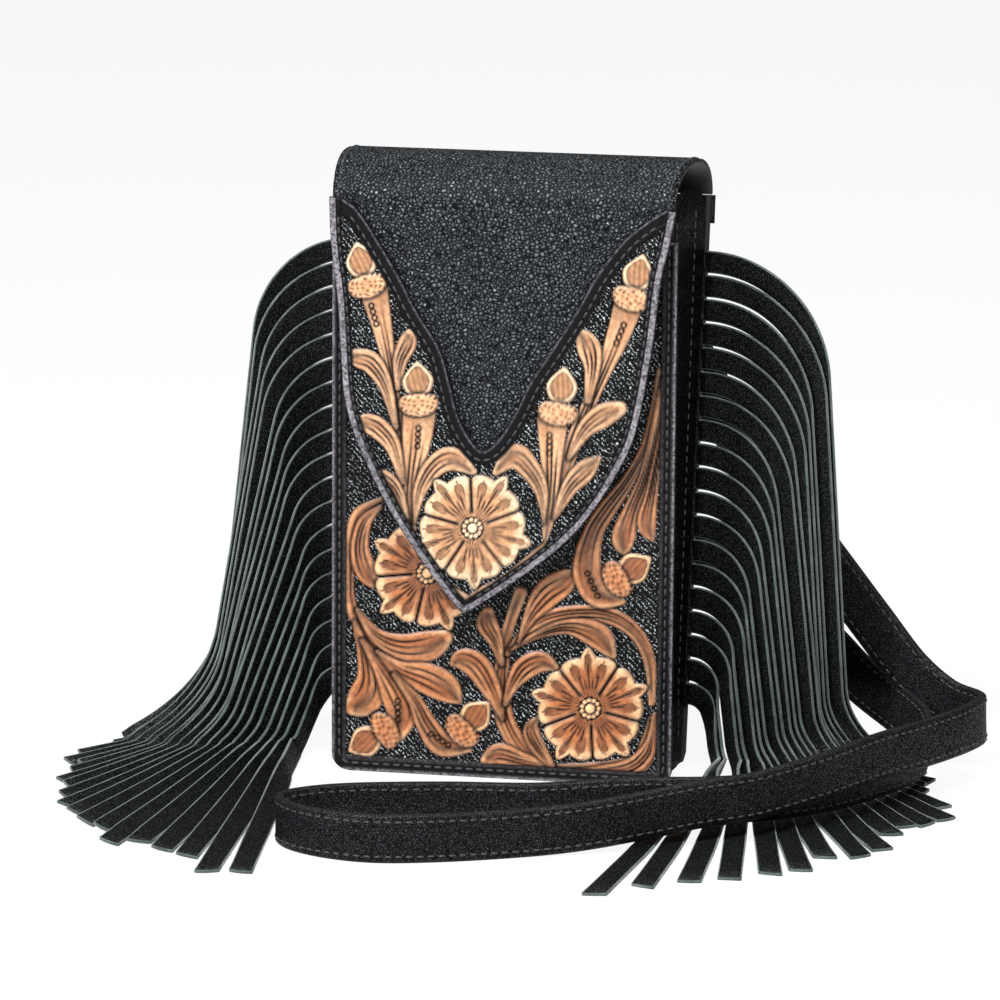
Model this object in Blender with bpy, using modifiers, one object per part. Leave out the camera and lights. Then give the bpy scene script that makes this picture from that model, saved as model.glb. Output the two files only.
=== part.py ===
"""A small upright leather phone bag: carved front panel, carved V-shaped flap, fringed sides and a shoulder strap.

Sizes are in millimetres and are turned into metres where the meshes are made. X runs across the bag, Y from the
front to the back and Z up. The bag stands on Z = 0 and its middle is at X = 0, Y = 0.
"""

import math
import random

import bmesh
import bpy
from mathutils import Matrix, Vector

MM = 0.001

# Body of the bag
BAG_WIDTH = 111.0
BODY_HEIGHT = 184.0
DEPTH_BOTTOM = 24.0
DEPTH_TOP = 48.0
FLARE_BOTTOM = 1.0
FLARE_TOP = 3.0
CORNER_RADIUS = 6.0
GAP = 0.3

# Front panel: thick tooling leather with a plain rim round the carved field
PANEL_THICK = 3.0
PANEL_TOP = BODY_HEIGHT - 8.0
PANEL_RIM = 4.8
GROUND_SINK = 0.6
CARVE_RISE = 0.9
GUSSET_INSET = 1.2
GUSSET_RISE = 5.0
GUSSET_THICK = 2.0
BACK_THICK = 2.2
BACK_OVERHANG = 0.8

# Strip that covers the seam of the flap and the ends of the strap
STRIP_HEIGHT = 9.0
STRIP_THICK = 1.6
STRIP_OVERHANG = 1.0

# Flap
FLAP_LIFT = 3.2
FLAP_THICK = 1.8
FLAP_SHOULDER = BODY_HEIGHT + 2.0
FLAP_RISE = 14.0
FLAP_OVERHANG = 0.8
HINGE_CLEAR = 0.4
OVERLAY_THICK = 2.2
OVERLAY_GAP = 0.3
OVERLAY_RIM = 4.2
OVERLAY_RISE = 0.7
OVERLAY_SINK = 0.5

# Press closure under the flap's point
SNAP_X = -4.0
SNAP_Z = BODY_HEIGHT / 2
SNAP_RADIUS = 7.0
SNAP_PLATE = 1.0
SNAP_SINK = 0.6
STUD_RADIUS = 2.4
STUD_HEIGHT = 1.5
SOCKET_BORE = 2.9

# Fringe
STRANDS = 19
STRAND_WIDTH = 7.1
STRAND_THICK = 0.9
STRAND_LENGTH = 196.0
FRINGE_TOP = 167.0
FRINGE_BOTTOM = 22.0
HEADER_WIDTH = 5.0

# Strap
STRAP_WIDTH = 15.0
STRAP_THICK = 2.6
STRAP_ON_FLOOR = 0.1
STRAP_ON_STRANDS = 4.6

HALF = BAG_WIDTH / 2
FRONT = -DEPTH_BOTTOM / 2
BACK_BOTTOM = DEPTH_BOTTOM / 2
LEAN = (DEPTH_TOP - DEPTH_BOTTOM) / BODY_HEIGHT
BACK_TOP = BACK_BOTTOM + LEAN * BODY_HEIGHT
PANEL_BACK = FRONT + PANEL_THICK
FLAP_INNER = FRONT - FLAP_LIFT
FLAP_OUTER = FLAP_INNER - FLAP_THICK
OVERLAY_BACK = FLAP_OUTER - OVERLAY_GAP
OVERLAY_FRONT = OVERLAY_BACK - OVERLAY_THICK
STRIP_OUTER = BACK_TOP + GAP + STRIP_THICK
HINGE_Y = STRIP_OUTER + 0.2
HINGE_Z = BODY_HEIGHT + HINGE_CLEAR


# Helpers


def back_y(z):
    """Outer face of the back panel at height z. The bag is a wedge, so its back leans away from its front."""
    return BACK_BOTTOM + LEAN * z


def flare(z):
    """How far the back edge of each side stands out past the front edge."""
    return FLARE_BOTTOM + (FLARE_TOP - FLARE_BOTTOM) * max(0.0, min(1.0, z / BODY_HEIGHT))


def collection(name):
    made = bpy.data.collections.new(name)
    bpy.context.scene.collection.children.link(made)
    return made


def material(name, colour, rough, metallic=0.0):
    made = bpy.data.materials.new(name)
    made.use_nodes = True
    shader = made.node_tree.nodes["Principled BSDF"]
    shader.inputs["Base Color"].default_value = (*colour, 1.0)
    shader.inputs["Roughness"].default_value = rough
    shader.inputs["Metallic"].default_value = metallic
    return made


def add_mesh(name, mesh, home):
    made = bpy.data.objects.new(name, mesh)
    home.objects.link(made)
    return made


def mesh_from(name, points, faces):
    mesh = bpy.data.meshes.new(name)
    mesh.from_pydata([Vector(p) * MM for p in points], [], faces)
    mesh.update()
    return mesh


def outline_mesh(name, points, y_front, y_back):
    """A closed outline in the X-Z plane, given as (x, z) points, extruded from y_front to y_back."""
    curve = bpy.data.curves.new(name, "CURVE")
    curve.dimensions = "2D"
    curve.fill_mode = "BOTH"
    curve.extrude = (y_back - y_front) / 2 * MM
    spline = curve.splines.new("POLY")
    spline.points.add(len(points) - 1)
    for point, (x, z) in zip(spline.points, points):
        point.co = (x * MM, z * MM, 0, 1)
    spline.use_cyclic_u = True
    holder = bpy.data.objects.new(name, curve)
    mesh = bpy.data.meshes.new_from_object(holder)
    bpy.data.objects.remove(holder)
    turned = Matrix.Translation((0, (y_front + y_back) / 2 * MM, 0)) @ Matrix.Rotation(math.pi / 2, 4, "X")
    mesh.transform(turned)
    tidy(mesh)
    return mesh


def tidy(mesh):
    """Joins the points that the tool left double and turns every face outward."""
    work = bmesh.new()
    work.from_mesh(mesh)
    bmesh.ops.remove_doubles(work, verts=work.verts, dist=0.00001)
    bmesh.ops.recalc_face_normals(work, faces=work.faces)
    work.to_mesh(mesh)
    work.free()


def disc_mesh(name, x, z, radius, y_front, y_back, sides):
    work = bmesh.new()
    turned = Matrix.Translation((x * MM, (y_front + y_back) / 2 * MM, z * MM)) @ Matrix.Rotation(math.pi / 2, 4, "X")
    bmesh.ops.create_cone(
        work,
        cap_ends=True,
        segments=sides,
        radius1=radius * MM,
        radius2=radius * MM,
        depth=(y_back - y_front) * MM,
        matrix=turned,
    )
    mesh = bpy.data.meshes.new(name)
    work.to_mesh(mesh)
    work.free()
    return mesh


def shear(mesh):
    """Leans a mesh back along with the back panel."""
    for vertex in mesh.vertices:
        vertex.co.y += LEAN * vertex.co.z


def boolean(target, operation, tool=None, tools=None):
    step = target.modifiers.new(operation.lower(), "BOOLEAN")
    step.operation = operation
    step.solver = "EXACT"
    if tools is None:
        step.object = tool
    else:
        step.operand_type = "COLLECTION"
        step.collection = tools
    return step


def solidify(target, thick, offset):
    step = target.modifiers.new("thickness", "SOLIDIFY")
    step.thickness = thick * MM
    step.offset = offset
    step.use_even_offset = False
    step.use_quality_normals = True
    return step


def rounded(left, right, bottom, top, radius):
    """Outline of a plate with two rounded bottom corners."""
    points = [(right, top), (left, top)]
    for centre_x, start in ((left + radius, math.pi), (right - radius, 1.5 * math.pi)):
        for step in range(5):
            angle = start + math.pi / 2 * step / 4
            points.append((centre_x + radius * math.cos(angle), bottom + radius + radius * math.sin(angle)))
    return points


def smooth_path(points, steps):
    """A smooth curve through control points of any number of values each."""
    ends = [points[0]] + list(points) + [points[-1]]
    made = []
    for i in range(1, len(ends) - 2):
        a, b, c, d = ends[i - 1], ends[i], ends[i + 1], ends[i + 2]
        for k in range(steps):
            t = k / steps
            made.append(
                tuple(
                    0.5 * (2 * q + (r - p) * t + (2 * p - 5 * q + 4 * r - s) * t**2 + (3 * q - p - 3 * r + s) * t**3)
                    for p, q, r, s in zip(a, b, c, d)
                )
            )
    made.append(tuple(points[-1]))
    return made


# Carving
# The motifs are laid out on a drawing grid read by eye off the photograph: u runs right and v runs down.
# A ribbon is a list of (u, v, half width) down its middle. The panel and the flap have a grid each.


def panel_at(u, v):
    x = (u - 501.5) * BAG_WIDTH / 341.0
    return x, (777.1 - v) * PANEL_TOP / 536.6 + 0.045 * x


def flap_at(u, v):
    x = (u - 502.2) * BAG_WIDTH / 346.2
    return x, (784.5 - v) * FLAP_SHOULDER / 576.2 + 0.045 * x


RIBBON_FULLNESS = 1.2

PANEL_RIBBONS = [
    [(380, 499, 3), (357, 513, 5), (349, 540, 5), (348, 575, 4), (350, 605, 5), (366, 640, 5), (392, 672, 4)],
    [(379, 507, 3), (364, 522, 6), (359, 548, 8), (366, 572, 9), (378, 587, 2)],
    [(357, 610, 3), (375, 634, 6), (400, 646, 11), (428, 645, 13), (446, 636, 6)],
    [(354, 622, 3), (363, 650, 6), (369, 678, 11), (365, 697, 15), (352, 707, 7)],
    [(362, 640, 3), (381, 668, 7), (396, 693, 13), (402, 714, 13), (394, 734, 9)],
    [(376, 650, 2), (400, 668, 7), (426, 677, 13), (446, 687, 12), (460, 701, 2)],
    [(394, 674, 3), (415, 700, 6), (427, 724, 9), (443, 744, 10), (470, 748, 3)],
    [(556, 766, 3), (527, 752, 8), (507, 722, 8), (501, 690, 8), (503, 658, 6), (508, 628, 5), (520, 592, 6)],
    [(502, 662, 3), (496, 640, 6), (487, 622, 9), (488, 611, 5)],
    [(503, 716, 3), (493, 690, 8), (478, 666, 11), (463, 658, 9), (453, 662, 3)],
    [(508, 652, 3), (525, 630, 5), (550, 616, 7), (585, 611, 7), (615, 616, 7), (638, 634, 6), (650, 662, 5), (652, 700, 3)],
    [(512, 648, 2), (540, 632, 4), (570, 625, 7), (598, 634, 11), (613, 654, 3)],
    [(506, 702, 3), (514, 682, 6), (525, 667, 10), (541, 660, 9), (556, 666, 3)],
    [(519, 640, 2), (530, 615, 6), (546, 593, 12), (562, 581, 11), (574, 571, 2)],
    [(552, 765, 3), (522, 758, 7), (500, 752, 9), (487, 759, 5)],
    [(560, 764, 3), (606, 764, 5), (640, 760, 9), (650, 735, 6), (651, 715, 2)],
    [(554, 764, 3), (541, 748, 6), (532, 730, 7), (536, 717, 2)],
    [(628, 455, 4), (610, 500, 7), (592, 532, 9), (586, 566, 12), (597, 592, 11), (622, 600, 3)],
    [(644, 440, 5), (640, 478, 5), (629, 510, 7), (622, 536, 10), (624, 551, 3)],
    [(650, 460, 2), (648, 495, 5), (645, 522, 8), (651, 538, 2)],
]
PANEL_FLOWERS = [(591, 706, 61, -0.37), (427, 572, 62, -0.08)]
PANEL_ACORNS = [(617, 577, 634, 566), (384, 730, 364, 742), (463, 729, 477, 714)]

FLAP_RIBBONS = [
    [(376, 288, 13), (384, 322, 9), (392, 362, 6), (399, 410, 5), (404, 460, 6), (410, 505, 6), (418, 541, 2)],
    [(423, 408, 15), (420, 442, 12), (416, 476, 8), (414, 510, 6), (418, 540, 2)],
    [(631, 306, 13), (621, 336, 10), (609, 366, 7), (594, 400, 6), (578, 440, 7), (565, 482, 6), (551, 538, 2)],
    [(557, 418, 14), (556, 450, 10), (556, 482, 7), (554, 512, 6), (550, 540, 2)],
    [(399, 425, 3), (389, 385, 6), (375, 362, 9), (361, 356, 8), (350, 354, 3)],
    [(406, 480, 3), (396, 444, 7), (382, 427, 9), (370, 421, 8), (361, 418, 3)],
    [(411, 522, 3), (401, 492, 6), (389, 477, 7), (378, 471, 2)],
    [(401, 386, 3), (403, 360, 6), (410, 342, 8), (412, 332, 4)],
    [(419, 520, 2), (424, 488, 6), (438, 465, 9), (456, 457, 10), (478, 470, 3)],
    [(592, 398, 4), (596, 366, 7), (592, 346, 10), (584, 332, 4)],
    [(574, 455, 3), (589, 428, 7), (607, 414, 10), (624, 407, 6)],
    [(560, 515, 3), (574, 486, 7), (589, 469, 9), (604, 456, 2)],
    [(549, 520, 2), (546, 488, 6), (533, 465, 9), (518, 454, 10), (500, 470, 3)],
    [(550, 541, 2), (536, 561, 7), (512, 580, 7), (488, 592, 6), (474, 597, 3)],
    [(474, 598, 3), (455, 587, 4), (440, 573, 4), (428, 558, 2)],
]
FLAP_FLOWERS = [(477, 526, 62, 0.27)]
FLAP_ACORNS = [(369, 283, 363, 259), (422, 401, 421, 378), (635, 297, 641, 273), (562, 410, 566, 384)]

FLAP_LEFT = [
    (468, 612), (455, 598), (430, 565), (400, 520), (378, 480), (360, 440),
    (350, 410), (345, 380), (340, 300), (333, 242), (331, 196),
]
FLAP_RIGHT = [
    (468, 612), (482, 605), (520, 580), (560, 550), (590, 520), (620, 475),
    (640, 430), (655, 350), (663, 283), (671, 247), (677, 214),
]
FLAP_NOTCH = [
    (666, 213), (648, 224), (625, 243), (600, 275), (579, 312), (557, 346), (534, 381), (520, 410), (504, 436),
    (488, 449), (476, 440), (462, 415), (453, 381), (442, 346), (419, 309), (404, 280), (384, 246), (361, 211),
    (346, 199),
]


def ribbon_outline(path, place, steps):
    middle = smooth_path(path, steps)
    left = []
    right = []
    for i, (u, v, w) in enumerate(middle):
        before = middle[max(0, i - 1)]
        after = middle[min(len(middle) - 1, i + 1)]
        along = Vector((after[0] - before[0], after[1] - before[1])).normalized()
        across = Vector((-along.y, along.x))
        w = max(w * RIBBON_FULLNESS, 1.2)
        left.append((u + across.x * w, v + across.y * w))
        right.append((u - across.x * w, v - across.y * w))
    u, v, w = middle[-1]
    before = middle[-2]
    along = Vector((u - before[0], v - before[1])).normalized()
    nose = [(u + along.x * w * 0.8, v + along.y * w * 0.8)]
    return [place(u, v) for u, v in left + nose + right[::-1]]


def flower_outline(u, v, radius, turn, place, sides):
    """Five petals, each with round shoulders and a point in its middle."""
    points = []
    for i in range(sides):
        angle = 2 * math.pi * i / sides
        phase = (5 * (angle - turn) / (2 * math.pi) + 0.5) % 1.0 - 0.5
        shoulder = math.sqrt(max(0.0, 1 - ((abs(phase) - 0.31) / 0.2) ** 2))
        reach = radius * (0.74 + 0.13 * shoulder + 0.26 * math.exp(-((phase / 0.10) ** 2)))
        points.append(place(u + reach * math.cos(angle), v + reach * math.sin(angle)))
    return points


def oval_outline(u, v, towards_u, towards_v, long, wide, point, place, sides):
    """An oval whose long axis aims at another point. point makes that end sharper."""
    axis = Vector((towards_u - u, towards_v - v)).normalized()
    side = Vector((-axis.y, axis.x))
    points = []
    for i in range(sides):
        angle = 2 * math.pi * i / sides
        along = long * math.cos(angle)
        across = wide * math.sin(angle) * (1 - point * max(0.0, math.cos(angle)))
        spot = Vector((u, v)) + axis * along + side * across
        points.append(place(spot.x, spot.y))
    return points


def motifs(ribbons, flowers, acorns, place):
    """Every motif as (outline, height share), lowest first."""
    made = [(ribbon_outline(path, place, 3), 0.72) for path in ribbons]
    for cap_u, cap_v, nut_u, nut_v in acorns:
        made.append((oval_outline(cap_u, cap_v, nut_u, nut_v, 14.5, 18.5, 0.0, place, 14), 0.9))
        made.append((oval_outline(nut_u, nut_v, 2 * nut_u - cap_u, 2 * nut_v - cap_v, 16, 13.5, 0.55, place, 12), 1.0))
    for u, v, radius, turn in flowers:
        made.append((flower_outline(u, v, radius, turn, place, 64), 0.85))
        made.append((oval_outline(u, v, u + 1, v, 12, 12, 0.0, place, 14), 1.1))
    return made


def carve(target, shapes, ground_y, rise, inside, home):
    """Raises the motifs out of the sunk ground. inside keeps each outline within the rim."""
    for i, (outline, share) in enumerate(shapes):
        points = []
        for spot in outline:
            kept = inside(*spot)
            if not points or math.dist(kept, points[-1]) > 0.15:
                points.append(kept)
        if math.dist(points[0], points[-1]) < 0.15:
            points.pop()
        name = f"{target.name}_motif_{i + 1:02d}"
        top = ground_y - rise * share - 0.004 * i
        mesh = outline_mesh(name, points, top, ground_y + 0.55 + 0.007 * i)
        add_mesh(name, mesh, home)
    boolean(target, "UNION", tools=home)


# Fringe


def seam_x(z):
    return HALF - GUSSET_INSET + flare(z) + 0.6


def seam_y(z):
    return back_y(z) - BACK_THICK - GAP - STRAND_THICK / 2


def strand_plan(index, side):
    """How one strand falls: 0 is the top strand. side is 1 on the right and -1 on the left.

    Strands hang in bunches of two or three with gaps between the bunches, and the low ones reach out further.
    """
    dice = random.Random(100 * index + (7 if side > 0 else 3))
    bunch = (2 * index + 1) // 5
    lot = random.Random(10 * bunch + (2 if side > 0 else 5))
    share = index / (STRANDS - 1)
    close = (index + 0.75 * (2.5 * bunch + 0.5 - index)) / (STRANDS - 1)
    if side > 0:
        reach, first, last, drop, low_drop, landing, ease, hang = 38.0, 12.0, 94.0, 87.0, 76.0, 30.0, 0.8, 8.0
    else:
        reach, first, last, drop, low_drop, landing, ease, hang = 30.0, 44.0, 97.0, 84.0, 57.0, 52.0, 0.9, 22.0
    sweep = first + (last - first) * share**ease + dice.uniform(-0.3, 0.3)
    return {
        "z": FRINGE_TOP - STRAND_WIDTH / 2 - share * (FRINGE_TOP - FRINGE_BOTTOM - STRAND_WIDTH),
        "arch": reach * (1 - close) + 8.0 * close + lot.uniform(-0.7, 0.7),
        "louvre": math.radians(8.0 + lot.uniform(-4, 4)),
        "hang": math.radians(hang + 40.0 * share),
        "sweep": math.radians(sweep),
        "between": math.radians((last - first) / (STRANDS - 1)) * 0.85,
        "length": STRAND_LENGTH - 14.0 * share + dice.uniform(-7, 5),
        "drop": math.radians(drop + (low_drop - drop) * close + lot.uniform(-1, 1)),
        "landing": landing + (12.0 - landing) * share,
    }


def strand_route(index, side, fineness):
    """Points down one strand with the direction of its width, both for the right-hand side of the bag.

    A strand leaves the seam on edge, arches over, hangs with its face to the front and turns flat on the floor. Each
    one stays a little in front of the strand above it, so that no two of them touch.
    """
    plan = strand_plan(index, side)
    z = plan["z"]
    place = Vector((seam_x(z), seam_y(z), z))
    pitch = 0.0
    landing_from = None
    landed = 0.0
    travelled = 0.0
    step = 1.0
    made = []
    while True:
        if landing_from:
            landed = max(landed, 1 - pitch / landing_from)
        flat = landed * landed * (3 - 2 * landed)
        ahead = min(1.0, travelled / min(32.0, 9.0 + 1.1 * plan["arch"]))
        heading = math.radians(3.0) + (plan["hang"] - math.radians(3.0)) * ahead * ahead * (3 - 2 * ahead)
        heading += (plan["sweep"] - heading) * flat
        out = Vector((math.cos(heading), -math.sin(heading), 0))
        along = out * math.cos(pitch) - Vector((0, 0, math.sin(pitch)))
        up = out * math.sin(pitch) + Vector((0, 0, math.cos(pitch)))
        across = along.cross(up)
        apart = max(1.0, plan["between"] * math.dist((place.x, place.y), (seam_x(0), seam_y(0))))
        shingle = 0.0
        if apart < STRAND_WIDTH:
            shingle = math.asin(min(0.92, 1.7 * STRAND_THICK / apart)) * min(1.0, (STRAND_WIDTH / apart - 1) * 3)
        twist = -plan["louvre"] * min(1.0, travelled / 18.0)
        twist += (math.pi / 2 - shingle - twist) * flat
        width = up * math.cos(twist) - across * math.sin(twist)
        made.append((travelled, place.copy(), width, pitch))
        if travelled >= plan["length"]:
            break
        travelled += step
        rest = STRAND_THICK / 2 + 0.05 + STRAND_WIDTH / 2 * abs(width.z)
        height = max(0.0, place.z - rest)
        turning = plan["landing"] * (1 - math.cos(pitch))
        if travelled > 12.0 and (height <= turning or height < 0.3):
            landing_from = landing_from or max(0.2, pitch)
            pitch = max(0.0, pitch - step / plan["landing"])
            pitch = min(pitch, math.acos(max(-1.0, 1 - height / plan["landing"])))
        elif landing_from is None:
            pitch = min(plan["drop"], pitch + step / plan["arch"])
        place = place + along * step
        if travelled > 12.0 and place.z < rest:
            place.z = rest
        if landing_from and place.z > rest and pitch < 0.3:
            place.z -= min(place.z - rest, 0.25 * step)
    return thin_out(made, fineness)


def thin_out(made, count):
    """Keeps count points of a route, closer together where the strand bends or twists."""
    weight = [0.0]
    for before, after in zip(made, made[1:]):
        bend = abs(after[3] - before[3]) + (after[2] - before[2]).length
        weight.append(weight[-1] + 0.012 + bend)
    kept = []
    target = 0
    for entry, reached in zip(made, weight):
        if reached >= weight[-1] * target / (count - 1) - 1e-9:
            kept.append(entry)
            target += 1
            while target < count and reached >= weight[-1] * target / (count - 1):
                target += 1
    if kept[-1] is not made[-1]:
        kept.append(made[-1])
    return [(place, width) for _, place, width, _ in kept]


def fringe_mesh(name, side, fineness):
    """One comb of leather: a header in the seam, cut into strands that fall outside the bag."""
    points = []
    faces = []

    def row(z):
        """Header points at one height: inner edge, then the edge at the seam."""
        first = len(points)
        points.append((side * (seam_x(z) - HEADER_WIDTH), seam_y(z), z))
        points.append((side * seam_x(z), seam_y(z), z))
        return first

    last = None
    for index in range(STRANDS):
        route = strand_route(index, side, fineness)
        z = route[0][0].z
        top = row(z + STRAND_WIDTH / 2)
        if last is not None:
            faces.append((last, last + 1, top + 1, top))
        low = row(z - STRAND_WIDTH / 2)
        faces.append((top, top + 1, low + 1, low))
        last = low
        upper, lower = top + 1, low + 1
        for place, width in route[1:]:
            for sign in (1, -1):
                spot = place + width * sign * STRAND_WIDTH / 2
                points.append((side * spot.x, spot.y, spot.z))
            faces.append((upper, len(points) - 2, len(points) - 1, lower))
            upper, lower = len(points) - 2, len(points) - 1
    if side > 0:
        faces = [face[::-1] for face in faces]
    return mesh_from(name, points, faces)


# Strap


def strap_points():
    """Middle line of the strap with the direction of its width, from the right end to the left end."""
    rear = BACK_TOP + GAP + STRAP_THICK / 2
    lift = STRAP_WIDTH / 2 + STRAP_ON_FLOOR
    over = STRAP_WIDTH / 2 + STRAP_ON_STRANDS
    top = BODY_HEIGHT - STRIP_HEIGHT - 0.8
    start = top - 16
    flat = (1, 0, 0)
    edge = (0, 0, 1)
    slant = (0.8, 0, 0.6)
    return [
        ((HALF - 11, back_y(top) + GAP + STRAP_THICK / 2, top), flat),
        ((HALF - 11, back_y(start) + 1.6 + STRAP_THICK / 2, start), flat),
        ((HALF - 8, rear + 3, 140), (0.99, 0, 0.12)),
        ((HALF + 2, rear + 7, 118), (0.95, 0, 0.3)),
        ((HALF + 15, rear + 8, 98), (0.86, 0, 0.5)),
        ((HALF + 31.4, rear + 8, 76), slant),
        ((HALF + 44.8, rear + 8, 58.8), slant),
        ((HALF + 56.6, rear + 8, 43.7), (0.79, 0, 0.61)),
        ((HALF + 68.4, rear + 7, 29.5), (0.74, -0.05, 0.67)),
        ((HALF + 81, rear + 3, 21), (0.5, -0.15, 0.85)),
        ((HALF + 92, rear - 6, 19.5), (0.2, -0.1, 0.97)),
        ((HALF + 95, FRONT + 33, over + 8), (-0.1, 0.05, 1)),
        ((HALF + 91, FRONT + 17, over + 8), (-0.1, 0.05, 1)),
        ((HALF + 81.4, FRONT - 1.5, over + 7.5), (-0.08, 0.05, 1)),
        ((HALF + 69.4, FRONT - 20.5, over + 7), (-0.05, 0, 1)),
        ((HALF + 56, FRONT - 42.5, over + 5.5), edge),
        ((HALF + 38, FRONT - 60.5, over + 2.5), edge),
        ((HALF + 21, FRONT - 70.5, over + 1), edge),
        ((HALF + 3, FRONT - 81, over - 1.5), edge),
        ((HALF - 14, FRONT - 90, lift + 1), edge),
        ((HALF - 32, FRONT - 98, lift), edge),
        ((HALF - 53, FRONT - 108, lift), edge),
        ((HALF - 71, FRONT - 113, lift), edge),
        ((HALF - 86, FRONT - 111, lift), edge),
        ((HALF - 99, FRONT - 104, lift), edge),
        ((HALF - 105.5, FRONT - 94, lift), edge),
        ((HALF - 101, FRONT - 85, lift), edge),
        ((HALF - 87, FRONT - 76, lift), edge),
        ((HALF - 60, FRONT - 68, lift), edge),
        ((HALF - 30, FRONT - 64.5, lift + 0.5), edge),
        ((HALF - 2, FRONT - 64, over - 0.8), edge),
        ((HALF + 22, FRONT - 61, over), edge),
        ((HALF + 42, FRONT - 50, over), edge),
        ((HALF + 58, FRONT - 34, over), edge),
        ((HALF + 69, FRONT - 14, over), edge),
        ((HALF + 76, FRONT + 5, over), edge),
        ((HALF + 78.5, FRONT + 22, over + 0.5), (0.05, 0, 1)),
        ((HALF + 75, FRONT + 40, over + 2), (0.2, 0, 0.97)),
        ((HALF + 64, FRONT + 56, over + 5), (0.45, 0, 0.89)),
        ((HALF + 50, rear + 19, 23.5), (0.62, 0, 0.78)),
        ((HALF + 36, rear + 22, 36), (0.66, 0, 0.75)),
        ((HALF + 12, rear + 23, 55), (0.64, 0, 0.77)),
        ((0, rear + 20, 84), (0.62, 0, 0.78)),
        ((33 - HALF, rear + 15, 104), (0.75, 0, 0.66)),
        ((17 - HALF, rear + 8, 128), (0.93, 0, 0.3)),
        ((11 - HALF, back_y(start) + 1.6 + STRAP_THICK / 2, start), flat),
        ((11 - HALF, back_y(top) + GAP + STRAP_THICK / 2, top), flat),
    ]


def strap_mesh(name, steps):
    control = [(*place, *width) for place, width in strap_points()]
    path = smooth_path(control, steps)
    points = []
    faces = []
    for i, values in enumerate(path):
        place = Vector(values[:3])
        before = Vector(path[max(0, i - 1)][:3])
        after = Vector(path[min(len(path) - 1, i + 1)][:3])
        along = (after - before).normalized()
        width = Vector(values[3:])
        width = (width - along * width.dot(along)).normalized()
        face = along.cross(width).normalized()
        for across, through in ((-1, -1), (1, -1), (1, 1), (-1, 1)):
            spot = place + width * across * STRAP_WIDTH / 2 + face * through * STRAP_THICK / 2
            points.append(tuple(spot))
    for i in range(len(path) - 1):
        for k in range(4):
            a, b = 4 * i + k, 4 * i + (k + 1) % 4
            faces.append((a, b, b + 4, a + 4))
    faces.append((3, 2, 1, 0))
    end = 4 * (len(path) - 1)
    faces.append((end, end + 1, end + 2, end + 3))
    mesh = mesh_from(name, points, faces)
    tidy(mesh)
    return mesh


# Pieces


def front_panel(home, cutters):
    mesh = outline_mesh("front_panel", rounded(-HALF, HALF, 0, PANEL_TOP, CORNER_RADIUS), FRONT, PANEL_BACK)
    panel = add_mesh("front_panel", mesh, home)
    side = HALF - PANEL_RIM
    low = PANEL_RIM
    high = PANEL_TOP - PANEL_RIM
    field = [(side, high), (-side, high), (-side, low), (side, low)]
    sink = add_mesh("panel_field", outline_mesh("panel_field", field, FRONT - 2, FRONT + GROUND_SINK), cutters)
    boolean(panel, "DIFFERENCE", sink)

    def inside(x, z):
        return max(0.2 - side, min(side - 0.2, x)), max(low + 0.2, min(high - 0.2, z))

    raised = collection("panel_motifs")
    shapes = motifs(PANEL_RIBBONS, PANEL_FLOWERS, PANEL_ACORNS, panel_at)
    carve(panel, shapes, FRONT + GROUND_SINK, CARVE_RISE, inside, raised)
    well = disc_mesh("snap_seat", SNAP_X, SNAP_Z, SNAP_RADIUS + GAP, FRONT - 3, FRONT + GROUND_SINK + SNAP_SINK, 32)
    boolean(panel, "DIFFERENCE", add_mesh("snap_seat", well, cutters))
    return panel


def gusset(home):
    """One strip folded round both sides and the bottom, wider at the top than at the bottom."""
    side = HALF - GUSSET_INSET
    path = [(-side, BODY_HEIGHT)]
    for step in range(1, 7):
        path.append((-side, BODY_HEIGHT + (CORNER_RADIUS - BODY_HEIGHT) * step / 6))
    for step in range(1, 6):
        angle = math.pi + math.pi / 2 * step / 5
        path.append((CORNER_RADIUS * (1 + math.cos(angle)) - side, CORNER_RADIUS * (1 + math.sin(angle))))
    path += [(-x, z) for x, z in path[::-1]]
    front_y = PANEL_BACK + GAP
    points = []
    faces = []
    columns = 5
    for x, z in path:
        rear_y = back_y(z) - BACK_THICK - 2 * GAP - STRAND_THICK
        for column in range(columns):
            share = column / (columns - 1)
            widen = 1 + flare(z) * share / side
            rise = GUSSET_RISE * math.sin(math.pi * share) if z == BODY_HEIGHT else 0.0
            points.append((x * widen, front_y + (rear_y - front_y) * share, z + rise))
    for i in range(len(path) - 1):
        for column in range(columns - 1):
            a = i * columns + column
            faces.append((a, a + 1, a + columns + 1, a + columns))
    made = add_mesh("gusset", mesh_from("gusset", points, faces), home)
    solidify(made, GUSSET_THICK, -1)
    return made


def back_panel(home):
    low = HALF - GUSSET_INSET + FLARE_BOTTOM + BACK_OVERHANG
    high = HALF - GUSSET_INSET + FLARE_TOP + BACK_OVERHANG
    outline = rounded(-low, low, 0, BODY_HEIGHT, CORNER_RADIUS)
    outline = [(x * (1 + (high / low - 1) * z / BODY_HEIGHT), z) for x, z in outline]
    mesh = outline_mesh("back_panel", outline, BACK_BOTTOM - BACK_THICK, BACK_BOTTOM)
    shear(mesh)
    return add_mesh("back_panel", mesh, home)


def back_strip(home):
    wide = HALF - GUSSET_INSET + FLARE_TOP + BACK_OVERHANG + STRIP_OVERHANG
    low = BODY_HEIGHT - STRIP_HEIGHT
    outline = [(wide, BODY_HEIGHT), (-wide, BODY_HEIGHT), (-wide, low), (wide, low)]
    mesh = outline_mesh("back_strip", outline, BACK_BOTTOM + GAP, BACK_BOTTOM + GAP + STRIP_THICK)
    shear(mesh)
    return add_mesh("back_strip", mesh, home)


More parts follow.
